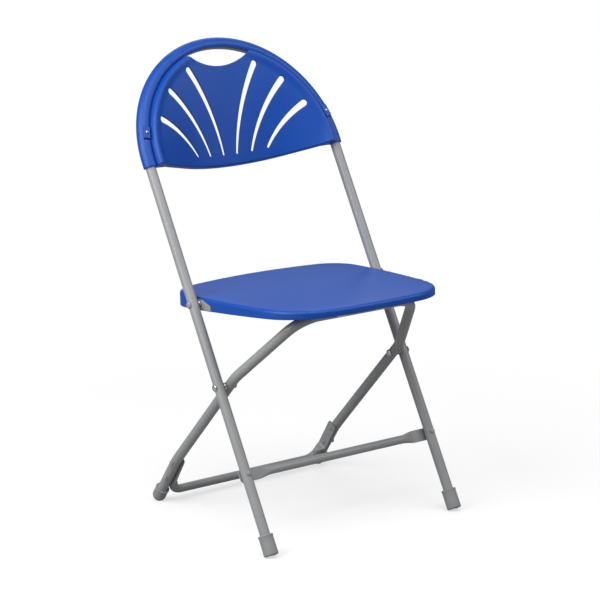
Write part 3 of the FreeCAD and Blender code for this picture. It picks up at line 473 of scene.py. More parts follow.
def grain_group():
    """Fine grain and broad cloudiness of a surface: two noises on object coordinates."""
    if "Surface grain" in bpy.data.node_groups:
        return bpy.data.node_groups["Surface grain"]
    scales = (("Grain scale", 900.0), ("Cloud scale", 9.0))
    tree, start, end = new_group("Surface grain", scales, ("Grain", "Cloud"))
    place = add(tree, "ShaderNodeTexCoord")
    fine = add(tree, "ShaderNodeTexNoise", {"Detail": 2.0, "Roughness": 0.6})
    broad = add(tree, "ShaderNodeTexNoise", {"Detail": 4.0, "Roughness": 0.62})
    for noise, socket, out in ((fine, "Grain scale", "Grain"), (broad, "Cloud scale", "Cloud")):
        tree.links.new(place.outputs["Object"], noise.inputs["Vector"])
        tree.links.new(start.outputs[socket], noise.inputs["Scale"])
        tree.links.new(noise.outputs["Fac"], end.inputs[out])
    return tree


def scuff_group():
    """Sparse rubbed streaks: a noise stretched along one axis, kept only where it is strongest."""
    if "Scuffs" in bpy.data.node_groups:
        return bpy.data.node_groups["Scuffs"]
    tree, start, end = new_group("Scuffs", (("Scale", 60.0), ("Spread", 0.2)), ("Mask",))
    place = add(tree, "ShaderNodeTexCoord")
    stretch = add(tree, "ShaderNodeMapping", {"Rotation": (0.2, 0.3, 0.7), "Scale": (1.0, 0.16, 1.0)})
    noise = add(tree, "ShaderNodeTexNoise", {"Detail": 5.0, "Roughness": 0.7})
    low = add(tree, "ShaderNodeMath", {0: 0.72}, operation="SUBTRACT")
    mask = add(tree, "ShaderNodeMapRange", {"From Max": 0.78}, interpolation_type="SMOOTHSTEP")
    tree.links.new(place.outputs["Object"], stretch.inputs["Vector"])
    tree.links.new(stretch.outputs["Vector"], noise.inputs["Vector"])
    tree.links.new(start.outputs["Scale"], noise.inputs["Scale"])
    tree.links.new(start.outputs["Spread"], low.inputs[1])
    tree.links.new(low.outputs["Value"], mask.inputs["From Min"])
    tree.links.new(noise.outputs["Fac"], mask.inputs["Value"])
    tree.links.new(mask.outputs["Result"], end.inputs["Mask"])
    return tree


def finish(name, base, worn, roughness, grain, cloud, bump, scuff, metal=0.0, shine=0.5):
    """A surface whose colour and gloss drift with its cloudiness and scuffs, with a fine grain in relief.
    Roughness is a low and a high value, and scuff the scale, spread and strength of its marks."""
    if name in bpy.data.materials:
        return bpy.data.materials[name]
    material = bpy.data.materials.new(name)
    material.use_nodes = True
    tree = material.node_tree
    shader = tree.nodes["Principled BSDF"]
    shader.inputs["Metallic"].default_value = metal
    shader.inputs["Specular IOR Level"].default_value = shine
    texture = add(tree, "ShaderNodeGroup", node_tree=grain_group())
    texture.inputs["Grain scale"].default_value = grain
    texture.inputs["Cloud scale"].default_value = cloud
    marks = add(tree, "ShaderNodeGroup", node_tree=scuff_group())
    marks.inputs["Scale"].default_value = scuff[0]
    marks.inputs["Spread"].default_value = scuff[1]
    drift = add(tree, "ShaderNodeMapRange", {"From Min": 0.3, "From Max": 0.75, "To Max": 0.45})
    rub = add(tree, "ShaderNodeMath", {1: scuff[2]}, operation="MULTIPLY_ADD")
    paint = add(tree, "ShaderNodeMix", data_type="RGBA")
    paint.inputs["A"].default_value = (*base, 1)
    paint.inputs["B"].default_value = (*worn, 1)
    gloss = add(tree, "ShaderNodeMapRange", {"To Min": roughness[0], "To Max": roughness[1]})
    relief = add(tree, "ShaderNodeBump", {"Strength": bump, "Distance": 0.0004})
    tree.links.new(texture.outputs["Cloud"], drift.inputs["Value"])
    tree.links.new(marks.outputs["Mask"], rub.inputs[0])
    tree.links.new(drift.outputs["Result"], rub.inputs[2])
    tree.links.new(rub.outputs["Value"], paint.inputs["Factor"])
    tree.links.new(rub.outputs["Value"], gloss.inputs["Value"])
    tree.links.new(texture.outputs["Grain"], relief.inputs["Height"])
    tree.links.new(paint.outputs["Result"], shader.inputs["Base Color"])
    tree.links.new(gloss.outputs["Result"], shader.inputs["Roughness"])
    tree.links.new(relief.outputs["Normal"], shader.inputs["Normal"])
    return material


def blue_moulding(colours):
    """Satin blue plastic of the seat and back."""
    return finish("Blue moulding", colours.blue, colours.blue_worn, (0.36, 0.52), 1400.0, 11.0, 0.10,
                  (55.0, 0.1, 0.35), shine=0.32)


def grey_coat(colours):
    """Grey powder coat of the tubes."""
    return finish("Grey powder coat", colours.grey, colours.grey_pale, (0.34, 0.5), 1100.0, 16.0, 0.16,
                  (90.0, 0.1, 0.3))


def cap_plastic(colours):
    """Grey plastic of the foot caps."""
    return finish("Cap plastic", colours.cap, colours.cap_scuffed, (0.5, 0.68), 900.0, 30.0, 0.2,
                  (120.0, 0.16, 0.6))


def zinc_plate(colours):
    """Zinc-plated steel of rivets, screws and clips."""
    return finish("Zinc plate", colours.zinc, colours.zinc_dull, (0.28, 0.5), 700.0, 60.0, 0.1,
                  (160.0, 0.15, 0.5), metal=1.0)


# Tubes and crossbars

def foot_line(tubes):
    """Direction of the rear legs, the bend above their feet, and the direction of the feet."""
    up = unit(cross_tube(tubes) - LEG_PIVOT)
    bend = LEG_PIVOT - up * ((LEG_PIVOT[2] - tubes.foot_height) / up[2])
    down = np.array((0.0, math.sin(tubes.foot_lean), -math.cos(tubes.foot_lean)))
    return up, bend, down


def bar_fall(tubes):
    """Direction of the rear crossbar's flat ends, from their tips down."""
    return np.array((0.0, math.sin(tubes.bar_lean), -math.cos(tubes.bar_lean)))


def cap_centre(tubes, x):
    """Middle of a rear foot cap's round end: where the foot's line reaches the height that the cap's
    box gives."""
    bend, down = foot_line(tubes)[1:]
    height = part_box("rear_leg_frame")[0].z + tubes.tube / 2 * math.sin(tubes.foot_lean)
    return side(bend + down * ((tubes.foot_height - height) / -down[2]), x)


def arch_path(tubes, start):
    """The arch's centre line: up one leg from a place along it, round half a circle and down the
    other."""
    half = half_spacing(tubes)
    top = tubes.arch_start + half
    stops = ((-half, start), (-half, top), (half, top), (half, start))
    return bent_path([on_upright(x, along, 0.0) for x, along in stops], (half, half))


def rear_frame_path(tubes):
    """The rear legs' centre line: up one foot and leg, in at the neck, across under the seat and down
    again."""
    up, bend = foot_line(tubes)[:2]
    half = rear_half(tubes)
    left = [cap_centre(tubes, -half), side(bend, -half), side(LEG_PIVOT + up * tubes.neck, -half),
            side(cross_tube(tubes), -tubes.top_half)]
    corners = left + [point * (-1, 1, 1) for point in reversed(left)]
    bends = (tubes.foot_bend, tubes.neck_bend, tubes.top_bend)
    return bent_path(corners, bends + bends[::-1])


def flat_end(reach, taper, thin, thick):
    """Thickness along a bar's end, from its tip: the plate, then a straight ramp to the round tube,
    with softened corners. Also gives how much of the plate's height is left near its rounded tip."""
    ramp = np.linspace(0, 1, 15)
    tip = np.linspace(0, math.pi / 2, 6)
    corner = 5 * MM
    place = np.concatenate((corner * (1 - np.cos(tip)), reach + taper * ramp))
    shrink = np.concatenate((0.55 + 0.45 * np.sin(tip), np.ones(len(ramp))))
    soft = ramp + 0.06 * np.sin(2 * math.pi * ramp)
    thickness = np.append(np.full(len(tip), thin), thin + (thick - thin) * (2 * ramp - soft))
    return place, thickness, shrink


def front_rail(tubes):
    """Straight crossbar: round in the middle, its ends pressed flat behind the front legs."""
    reach = half_spacing(tubes) + tubes.front_over
    level = -(tubes.tube + tubes.plate) / 2
    place, thick, shrink = flat_end(tubes.front_flat, tubes.front_taper, tubes.plate, tubes.bar)
    x = np.concatenate((place - reach, (reach - place)[::-1]))
    path = on_upright(x, tubes.front_bar, level)
    both = np.concatenate((thick, thick[::-1]))
    profiles = stadium(both, math.pi * tubes.bar, np.concatenate((shrink, shrink[::-1])))
    return closed(carried(path, np.broadcast_to(X_AXIS, path.shape), FORWARD, profiles))


def rear_rail(tubes):
    """Shallow U crossbar: its ends are pressed flat against the inner faces of the rear legs."""
    bend, fall = foot_line(tubes)[1], bar_fall(tubes)
    face = rear_half(tubes) - tubes.tube / 2
    round_x = face - tubes.bar / 2
    flat = tubes.bar_drop - tubes.bar_bend - tubes.bar_taper + tubes.bar_rise
    place, thick, shrink = flat_end(flat, tubes.bar_taper, tubes.plate, tubes.bar)
    legs = side(bend, 0) + fall * (place - tubes.bar_rise)[:, None]
    legs[:, 0] = thick / 2 - face
    corner = side(bend + fall * tubes.bar_drop, -round_x)
    path, headings = bent_path([legs[-1], corner, side(corner, 0)], (tubes.bar_bend,))
    path = np.concatenate((legs, path[1:]))
    headings = np.concatenate((np.broadcast_to(fall, legs.shape), headings[1:]))
    count = len(path) - len(legs)
    profiles = stadium(np.append(thick, np.full(count, tubes.bar)), math.pi * tubes.bar,
                       np.append(shrink, np.ones(count)))
    square = np.cross(fall, X_AXIS)
    # the U lies in one plane, so its profiles keep one axis square to that plane
    half = carried(path, headings, square, profiles[..., ::-1])
    return [sheet(half, True), lid(half[0]), sheet(half * (-1, 1, 1), True), lid(half[0] * (-1, 1, 1))]


def rivet(outer, inner, shank, head, tail, height):
    """A rivet between two faces: a low dome, the shank and another dome. A dome is a quarter of an ellipse,
    turned, on a small straight rim."""
    outer, inner = np.asarray(outer, float), np.asarray(inner, float)
    reach = np.linalg.norm(outer - inner)
    share = np.linspace(0, 1, 8)
    rim = 0.25 * height

    def dome(radius):
        swing = share * math.pi / 2
        return np.stack((radius * np.sin(swing), rim + (height - rim) * np.cos(swing)), -1)

    low, high = dome(tail / 2) * (1, -1), dome(head / 2) + (0, reach)
    shaft = [(tail / 2, 0), (shank / 2, 0), (shank / 2, reach), (head / 2, reach)]
    profile = np.concatenate((low, shaft, high[::-1]))
    return [sheet(turned(profile, inner, outer - inner), True)]


def cross_head(place, out, head, height, bite, shank):
    """A pan head screw with a cross recess: the head's level falls towards its rim, and by the recess's
    depth where either arm of the cross covers it."""
    share = np.linspace(0, 1, 15)
    ring = share * head / 2
    level = height * (1 - 0.75 * share ** 4)
    out = unit(out)
    spin = np.arange(RING) * (2 * math.pi / RING)
    first = np.abs(ring[:, None] * np.cos(spin))
    second = np.abs(ring[:, None] * np.sin(spin))
    long_arm, thin_arm = 0.29 * head, 0.075 * head
    arm = np.minimum(eased((long_arm - np.maximum(first, second)) / (0.1 * head)),
                     eased((thin_arm - np.minimum(first, second)) / (0.06 * head)))
    top = turned(np.stack((ring, level), -1), place, out) - (0.6 * height * arm)[..., None] * out
    shaft = ((head / 2, level[-1]), (head / 2, 0), (shank / 2, 0), (shank / 2, -bite), (0, -bite))
    return [sheet(top, True), sheet(turned(shaft, place, out), True)]


class CHAIR_OT_frame(Operator):
    """Bend the arch and the rear legs, and press the ends of the crossbars flat"""

    bl_idname = "chair.frame"
    bl_label = "Tubes and crossbars"

    def execute(self, context):
        tubes = context.scene.chair_tubes
        coat = grey_coat(context.scene.chair_finish)
        start = tubes.cap_lift / math.cos(LEAN) + tubes.cap_floor
        path, headings = arch_path(tubes, start)
        round_tube = circle(tubes.tube / 2)
        arch = closed(carried(path, headings, FORWARD, round_tube))
        piece("front_arch", arch, ["front_frame_tube"], coat)
        path, headings = rear_frame_path(tubes)
        square = np.cross(foot_line(tubes)[0], X_AXIS)
        legs = closed(carried(path, headings, square, round_tube))
        piece("rear_frame", legs, ["rear_leg_frame"], coat)
        piece("front_rail", front_rail(tubes), ["front_crossbar"], coat)
        piece("rear_rail", rear_rail(tubes), ["rear_crossbar"], coat)
        return {"FINISHED"}


class CHAIR_OT_rivets(Operator):
    """Set the rivets of the crossbars and pivots, with their bushes and washers"""

    bl_idname = "chair.rivets"
    bl_label = "Rivets and pivots"

    def execute(self, context):
        tubes = context.scene.chair_tubes
        zinc = zinc_plate(context.scene.chair_finish)
        coat = grey_coat(context.scene.chair_finish)
        half, inner_half, r = half_spacing(tubes), rear_half(tubes), tubes.tube / 2
        size = (tubes.rivet_shank, tubes.rivet, tubes.rivet, tubes.rivet_height)
        bend, fall = foot_line(tubes)[1], bar_fall(tubes)
        front, rear = [], []
        for name, sign in SIDES:
            front += rivet(on_upright(sign * half, tubes.front_bar, r),
                           on_upright(sign * half, tubes.front_bar, -r - tubes.plate), *size)
            for place in (tubes.upper_rivet, tubes.lower_rivet):
                point = bend + fall * place
                rear += rivet(side(point, sign * (inner_half + r)),
                              side(point, sign * (inner_half - r - tubes.plate)), *size)
        piece("front_rail_rivets", front, ["front_crossbar_rivets"], coat)
        piece("rear_rail_rivets", rear, ["rear_crossbar_rivets"], coat)
        head, edge, rim = tubes.pivot_height, tubes.ring_edge, tubes.pivot_head / 2
        pivots = ((LEG_PIVOT, "leg_pivot", "spacer", tubes.leg_shank, tubes.pivot_head, zinc, "fastener"),
                  (SEAT_PIVOT, "seat_pivot", "washer", tubes.seat_shank, tubes.seat_tail, coat, "bush"))
        for name, sign in SIDES:
            for pivot, kind, bush, shank, tail, metal, ring_slot in pivots:
                node, ring = f"{kind}_rivet_{name}", f"{kind}_{bush}_{name}"
                near, far = sorted(abs(corner.x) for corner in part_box(node))
                made = rivet(side(pivot, sign * (far - head)), side(pivot, sign * (near + head)), shank,
                             tubes.pivot_head, tail, head)
                piece(f"{kind}_{name}", made, [node], metal)
                near, far = sorted(abs(corner.x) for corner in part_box(ring))
                tall = far - near
                profile = ((shank / 2, 0), (rim - edge, 0), (rim, edge), (rim, tall - edge),
                           (rim - edge, tall), (shank / 2, tall), (shank / 2, 0))
                made = [sheet(turned(profile, side(pivot, sign * near), X_AXIS * sign), True)]
                piece(f"{kind}_{bush}_ring_{name}", made, [ring], zinc)
        return {"FINISHED"}


def cap_mouth(tubes, radius, tall, floor, bead):
    """Upper part of a cap's turned profile: the steps of its bead, the mouth and the socket to its floor."""
    bore, lead_in = tubes.tube / 2, 0.4 * MM
    outside = [(radius + grow * MM, tall - below * MM) for grow, below in bead]
    return [*outside, (bore + lead_in, tall), (bore, tall - MM), (bore, floor), (0, floor)]


class CHAIR_OT_caps(Operator):
    """Turn the four foot caps and trim them flat on the floor"""

    bl_idname = "chair.caps"
    bl_label = "Foot caps"

    def execute(self, context):
        tubes = context.scene.chair_tubes
        plastic = cap_plastic(context.scene.chair_finish)
        r, tall, edge = tubes.front_cap, tubes.front_cap_tall, tubes.front_cap_edge
        swing = np.linspace(0, math.pi / 2, 6)
        sole = np.stack((r - edge + edge * np.sin(swing), edge * (1 - np.cos(swing))), -1)
        front = [(0, 0), *sole, (r, tall / 2), *cap_mouth(tubes, r, tall, tubes.cap_floor, FRONT_BEAD)]
        r = tubes.rear_cap
        swing = np.linspace(0, math.pi / 2, 14)
        ball = np.stack((r * np.sin(swing), -r * np.cos(swing)), -1)
        rear = [*ball, *cap_mouth(tubes, r, tubes.rear_cap_tall, 0.0, REAR_BEAD)]
        up_foot = -foot_line(tubes)[2]
        for name, sign in SIDES:
            base = on_upright(sign * half_spacing(tubes), tubes.cap_lift / math.cos(LEAN), 0.0)
            centre = cap_centre(tubes, sign * rear_half(tubes))
            ends = (("front", front, base, ALONG), ("rear", rear, centre, up_foot))
            for end, profile, place, axis in ends:
                points = turned(profile, place, axis)
                points[..., 2] = np.maximum(points[..., 2], 0)
                piece(f"{end}_cap_{name}", [sheet(points, True)], [f"foot_cap_{end}_{name}"], plastic)
        return {"FINISHED"}


# Fan back

def soft_least(first, second, blend):
    """The lesser of two values, rounded off where they meet: they are mixed over the blend, less the
    blend times the product of both shares."""
    share = np.clip(0.5 + (second - first) / (2 * blend), 0, 1)
    return second + (first - second) * share - blend * share * (1 - share)


class FanLayout:
    """The places that the rim, border, panel, slots and hand hole of the back share."""

    def __init__(self, tubes, back):
        self.back = back
        self.start = tubes.arch_start
        self.half = half_spacing(tubes)
        self.wall = self.half - back.border
        self.join = self.half - back.border_reach
        rise = back.handle_top - back.handle_foot
        self.grip = (back.handle_half ** 2 + rise ** 2) / (2 * rise)
        self.grip_centre = back.handle_foot + self.grip
        self.tip = self.meeting(self.join, back.edge)
        self.wall_tip = self.meeting(self.wall, back.edge)
        self.skip = self.start - back.bottom
        rises = np.append(quarter(7)[::-1, 0] * back.foot_edge, (back.panel, 0.66 * self.skip))
        near = self.wall_tip - math.radians(1.5)
        turns = np.concatenate((np.linspace(0, near, 66), np.linspace(near, self.wall_tip, 5)[1:],
                                np.linspace(self.wall_tip, self.tip, 16)[1:]))
        self.turn = np.concatenate((np.zeros(len(rises)), turns))[:, None]
        self.drop = np.concatenate((self.skip - rises, np.zeros(len(turns))))[:, None]
        self.foot_rows = len(rises) - 2

    def meeting(self, radius, out):
        """Turn at which a radius about the arch meets the hand hole's lower edge, moved out by a
        distance."""
        apart = self.grip_centre - self.start
        return math.asin((radius ** 2 - (self.grip + out) ** 2 + apart ** 2) / (2 * apart * radius))

    def grip_reach(self, turn, out):
        """Radius about the arch of the hand hole's lower edge, moved out by a distance, or else of the
        border."""
        apart = self.grip_centre - self.start
        inside = (self.grip + out) ** 2 - (apart * np.cos(turn)) ** 2
        return np.where(inside > 0, apart * np.sin(turn) - np.sqrt(np.maximum(inside, 0)), self.wall)

    def flat(self, radius):
        """Sideways and along places of a radius about the arch, at each station of the border."""
        return radius * np.cos(self.turn), self.start + radius * np.sin(self.turn) - self.drop

    def face(self, x, along, depth=0.0):
        """Face of the back, forward of the tubes: the panel is a rise by the tilt, less the set-back,
        plus the sag of an arc with straight wings that flatten evenly with height. Towards the rim the
        face climbs the border's slope to its level crest and falls down its flank, rounded where they
        meet. The lower edge is a quarter round."""
        back = self.back
        height = along - back.bottom
        share = 1 - height / back.flat_height
        radius = back.foot_radius / share
        slope = share * math.tan(back.wing)
        bend = np.minimum(np.abs(x), radius * slope / np.sqrt(1 + slope ** 2))
        sag = radius - np.sqrt(radius ** 2 - bend ** 2) + slope * (np.abs(x) - bend)
        panel = height * math.tan(back.tilt) - back.set_back + sag
        ring = np.hypot(x, np.maximum(along - self.start, 0))
        slope_in = back.level + ring - (self.half - back.crest_inner)
        flank = back.level + (self.half - back.crest_outer - ring) * back.flank
        raised = -soft_least(-panel, -slope_in, back.soft)
        crest = soft_least(soft_least(raised, back.level, back.soft), flank, back.soft)
        short = np.clip(1 - height / back.foot_edge, 0, 1)
        return crest - back.foot_edge * (1 - np.sqrt(1 - short ** 2)) - depth


def border_half(fan):
    """One side of the border, as sections from the panel's face over the crest and down the flank into
    the rim, and up behind to the back of the panel. Past the hand hole's tip a section ends at the
    hole's rounded edge instead."""
    back, half, turn = fan.back, fan.half, fan.turn
    shares = np.concatenate((np.linspace(0, 0.66, 9), np.linspace(0.69, 1, 11)))
    limit = np.minimum(fan.grip_reach(turn, back.edge), fan.wall)
    radii = fan.join + (limit - fan.join) * shares
    front = np.stack((radii, fan.face(*fan.flat(radii))), -1)
    steps = edge_steps(back)
    cut = np.minimum(fan.grip_reach(turn, steps[:, 0]), fan.wall)
    away = limit + (fan.join - limit) * np.linspace(0, 1, 7)[1:]
    at_hole = np.concatenate((np.stack((cut, fan.face(*fan.flat(cut), steps[:, 1])), -1),
                              np.stack((away, fan.face(*fan.flat(away), back.panel)), -1)), 1)
    # behind the flank a section goes down into the rim's wall, along its middle and out again
    tuck, toe, dip, rise, hem = 0.35 * MM, 0.6 * MM, 8 * MM, 3 * MM, 4 * MM
    inner = half - back.rim + tuck
    behind = fan.face(*fan.flat(inner), back.panel)
    foot = front[:, -1:, 1]
    swing = np.linspace(math.radians(142), math.radians(168), 4)
    middle = (back.rim + back.bore) / 2
    buried = half + np.cos(swing) * middle, np.sin(swing) * middle
    stations = np.ones_like(turn)
    down_r = stations * np.concatenate((np.full(3, fan.wall), buried[0], np.full(3, inner)))
    low = behind - hem
    down_d = np.concatenate((foot, foot - toe, stations * dip, stations * buried[1], stations * rise,
                             (low + rise) / 2, low), 1)
    fillet = quadratic((inner * stations, low), (inner * stations, behind),
                       (fan.join * stations, fan.face(*fan.flat(fan.join), back.panel)), 7)[:, 1:]
    at_rim = np.concatenate((np.stack((down_r, down_d), -1), fillet), 1)
    weight = eased((turn - fan.wall_tip) / math.radians(1.2) + 0.5)[..., None]
    section = np.concatenate((front, at_rim * (1 - weight) + at_hole * weight), 1)
    x, along = fan.flat(section[..., 0])
    return on_upright(x, along, section[..., 1])


def rim_half(fan):
    """One side of the rim that clips over the tube, as C-shaped sections from the foot to the top of
    the arch. It is sunk in a slit beside the border, round two sides of the screw boss and at a small
    notch, and it opens to a half shell over the hand hole."""
    back, half = fan.back, fan.half
    degree = math.radians(1)
    boss, notch = math.asin(back.boss_height / half), math.radians(59.4)
    rises = np.append(quarter(5)[::-1, 0] * back.rim_edge, 0.5 * fan.skip)
    opening = fan.wall_tip - 2.2 * degree
    # stations close up round the boss, at the notch and where the rim opens
    marks = (0, boss - 4.1 * degree, boss - 2.9 * degree, boss + 2.9 * degree, boss + 3.5 * degree,
             notch - 0.6 * degree, notch + 0.6 * degree, opening, opening + 2.6 * degree, math.pi / 2)
    counts = (8, 14, 8, 8, 30, 13, 8, 12, 16)
    spans = [np.linspace(*span, endpoint=False) for span in zip(marks, marks[1:], counts)]
    turns = np.append(np.concatenate(spans), math.pi / 2)
    turn = np.concatenate((np.zeros(len(rises)), turns))[:, None]
    drop = np.concatenate((fan.skip - rises, np.zeros(len(turns))))[:, None]
    open_share = eased((turn - opening) / (2.4 * degree))
    lip, bore_lip = math.asin(back.rim_lip / back.rim), math.asin(back.rim_lip / back.bore)
    shut = 1 - open_share
    outer_end = (math.pi + lip) * shut + math.acos(-back.grip_inset / back.rim) * open_share
    bore_end = (math.pi + bore_lip) * shut + math.acos(-back.grip_inset / back.bore) * open_share
    around = ((202.5, 140, 10), (139, 118, 43), (117, 58, 36), (54, -22.5, 16))
    around = np.concatenate([np.linspace(*span) for span in around]) * degree
    around = np.maximum(np.minimum(around, outer_end), -lip * shut)

    def band(value, low, high, soft):
        return eased((value - low) / soft + 0.5) * eased((high - value) / soft + 0.5)

    along_boss = (turn - boss) * half
    aside = -np.cos(around) * back.rim
    wide, tall = back.boss_width / 2, back.boss_length / 2
    low, out, soft, side_soft = -tall - back.moat_foot, wide + back.moat, 0.4 * MM, 0.6 * MM
    below = band(along_boss, low, -tall, soft) * band(aside, -wide, out, side_soft)
    beside = band(along_boss, low, tall - MM, soft) * band(aside, wide, out, side_soft)
    marked = band((turn - notch) * half, -0.5 * MM, 0.5 * MM, 0.5 * MM) * band(aside, -MM, wide, MM)
    gap = band(around, 128.2 * degree, 136 * degree, degree) * shut
    sunk = np.maximum(np.maximum(gap * back.slit, MM * marked), back.moat_depth * np.maximum(below, beside))
    short = np.clip(1 - (fan.skip - drop) / back.rim_edge, 0, 1)
    skin = back.rim - sunk - back.rim_edge * (1 - np.sqrt(np.where(drop > 0, 1 - short ** 2, 1)))
    inside = np.linspace(-bore_lip, math.pi + bore_lip, 30)
    inside = np.maximum(np.minimum(inside, bore_end), -bore_lip * shut)
    radius = np.concatenate((half + skin * np.cos(around), half + back.bore * np.cos(inside)), 1)
    forward = np.concatenate((skin * np.sin(around), back.bore * np.sin(inside)), 1)
    return on_upright(radius * np.cos(turn), fan.start + radius * np.sin(turn) - drop, forward)


def slot_spine(fan, turn, foot_x, bow, count=26):
    """Points and headings of a slot's middle line: a circular arc from its upper end, at a turn round
    the arch, to its foot, which swings aside by the bow between them."""
    back, reach = fan.back, fan.half - fan.back.slot_inset
    top = np.array((reach * math.cos(turn), fan.start + reach * math.sin(turn)))
    foot = np.array((foot_x * MM, back.bottom + back.slot_rise))
    chord = np.linalg.norm(top - foot)
    along = (top - foot) / chord
    aside = np.array((-along[1], along[0]))
    radius = (chord ** 2 / 4 + (bow * MM) ** 2) / (2 * bow * MM)
    centre = (top + foot) / 2 + aside * (bow * MM - radius)
    swing = np.linspace(1, -1, count)[:, None] * math.asin(chord / (2 * radius))
    points = centre + radius * (np.cos(swing) * aside + np.sin(swing) * along)
    return points, np.sin(swing) * aside - np.cos(swing) * along


def slot_loop(back, spine, heading, grow):
    """Outline of a slot: its spine moved out to both sides by half its width, which falls evenly from
    top to foot, with a half circle on each end. Grow widens it."""
    half = (np.linspace(back.slot_top, back.slot_foot, len(spine)) / 2 + grow)[:, None]
    aside = np.stack((-heading[:, 1], heading[:, 0]), -1)
    turn = np.linspace(0, math.pi, 13)[1:-1, None]
    foot = spine[-1] + half[-1] * (np.cos(turn) * aside[-1] + np.sin(turn) * heading[-1])
    top = spine[0] - half[0] * (np.cos(turn) * aside[0] + np.sin(turn) * heading[0])
    return np.concatenate((spine + half * aside, foot, (spine - half * aside)[::-1], top))


def fan_slots(fan, grow):
    """Outlines of all the slots of the fan, mirrored to both sides."""
    loops = []
    for turn, foot_x, bow in SLOTS:
        loop = slot_loop(fan.back, *slot_spine(fan, math.radians(turn), foot_x, bow), grow)
        loops += [loop, loop * (-1, 1)]
    return loops


def edge_steps(back):
    """Steps of a rounded cut through the panel: how far each lies outside the cut, and how deep below
    the face."""
    front = quarter(5) * back.edge
    return np.concatenate((front, front[::-1] * (1, -1) + (0, back.panel)))


def within(points, loop):
    """Whether each point lies in a loop: a line from it towards plus x crosses the loop an odd number
    of times."""
    x, y = points[:, :1], points[:, 1:]
    last = np.roll(loop, 1, 0)
    spans = (loop[:, 1] > y) != (last[:, 1] > y)
    rise = loop[:, 1] - last[:, 1]
    share = (y - last[:, 1]) / np.where(rise == 0, 1.0, rise)
    return np.sum(spans & (x < last[:, 0] + share * (loop[:, 0] - last[:, 0])), 1) % 2 == 1


def clear_of(points, others, gap):
    """Whether each point is farther than a gap from all the others."""
    return np.min(np.linalg.norm(points[:, None] - others[None], axis=2), 1) > gap


def grip_arc(fan, out):
    """The hand hole's lower edge between its tips, moved into the panel."""
    radius = fan.grip + out
    reach = math.asin(fan.grip_reach(fan.tip, out) * math.cos(fan.tip) / radius)
    swing = np.linspace(reach, -reach, 44)
    return np.stack((radius * np.sin(swing), fan.grip_centre - radius * np.cos(swing)), -1)


def panel_net(fan, loops):
    """Triangles of the panel, seen flat: a net over the outline, the slots' edges, rings of points
    round each slot and along the border, and an even spread of points, less the triangles outside the
    outline or in a slot."""
    back, step = fan.back, 5.0 * MM
    low = back.bottom + back.panel
    rim = np.concatenate(fan.flat(fan.join), 1)[fan.foot_rows:]
    foot_x = np.linspace(-fan.join, fan.join, 90)[1:-1]
    foot = np.stack((foot_x, np.full(len(foot_x), low)), -1)
    outline = np.concatenate((rim, grip_arc(fan, back.edge)[1:-1], rim[::-1] * (-1, 1), foot))
    bounds = [outline, *loops]
    starts = np.cumsum([0] + [len(loop) for loop in bounds])
    edges = [np.stack((start + np.arange(len(loop)), start + np.roll(np.arange(len(loop)), -1)), -1)
             for loop, start in zip(bounds, starts)]
    across = np.arange(-fan.join, fan.join, step)
    up = np.arange(low, fan.start + fan.join, step * math.sqrt(3) / 2)
    spread = np.stack(np.meshgrid(across, up), -1)
    spread[1::2, :, 0] += step / 2
    spread = spread.reshape(-1, 2)

    def in_panel(points):
        return within(points, outline) & ~np.any([within(points, loop) for loop in loops], 0)

    bound = np.concatenate(bounds)
    points = bound
    insets = (2.4 * MM, 5.2 * MM, 8.4 * MM, 12.2 * MM)
    beside = [np.concatenate(fan.flat(fan.join - inset), 1)[fan.foot_rows:] for inset in insets]
    bands = np.concatenate([band * (sign, 1) for band in beside for sign in (1, -1)])
    rings = np.concatenate([*fan_slots(fan, back.edge + 2.4 * MM), grip_arc(fan, back.edge + 2.4 * MM)])
    for more, gap in ((rings, 1.8 * MM), (bands, 1.8 * MM), (spread, 0.6 * step)):
        points = np.concatenate((points, more[in_panel(more) & clear_of(more, points, gap)]))
    corners = [Vector(point) for point in points.tolist()]
    made = delaunay_2d_cdt(corners, np.concatenate(edges).tolist(), [], 0, 1e-7)
    flat, corners = np.array(made[0]), np.array(made[2])
    return flat, corners[in_panel(flat[corners].mean(1))], foot_x


def foot_strip(fan, foot_x):
    """The wall along the lower edge: a section that rounds from the panel's face to the underside, runs
    back to its rear face and up to the back of the panel. At the corners it fills the border, just
    inside its skin, and its rear face stays level with the rim's lip."""
    back = fan.back
    beyond = fan.join + (fan.wall - MM - fan.join) * np.linspace(0, 1, 6)
    columns = np.concatenate((-beyond[::-1], foot_x, beyond))
    hidden = np.where(np.abs(columns) > fan.join + WELD, 0.5 * MM, 0.0)
    back_edge = quarter(4) * 1.2 * MM
    front = np.append(back.panel, quarter(7)[:, 0] * back.foot_edge)
    rear = np.concatenate((back_edge[::-1, 0], back.panel - back_edge[:, 0]))
    rise = np.concatenate((front, rear, [back.panel]))[:, None]
    along = back.bottom + rise + np.where(rise < back.panel / 2, hidden / 2, 0)
    faced = fan.face(columns, along[:len(front)]) - hidden
    deep = np.minimum(fan.face(columns, back.bottom + back.foot_edge, back.flange), -back.rim_lip)
    deep = deep + np.concatenate((back_edge[::-1, 1], back_edge[:, 1]))[:, None]
    last = fan.face(columns, along[-1:], back.panel) - hidden
    return on_upright(columns, along, np.concatenate((faced, deep, last)))


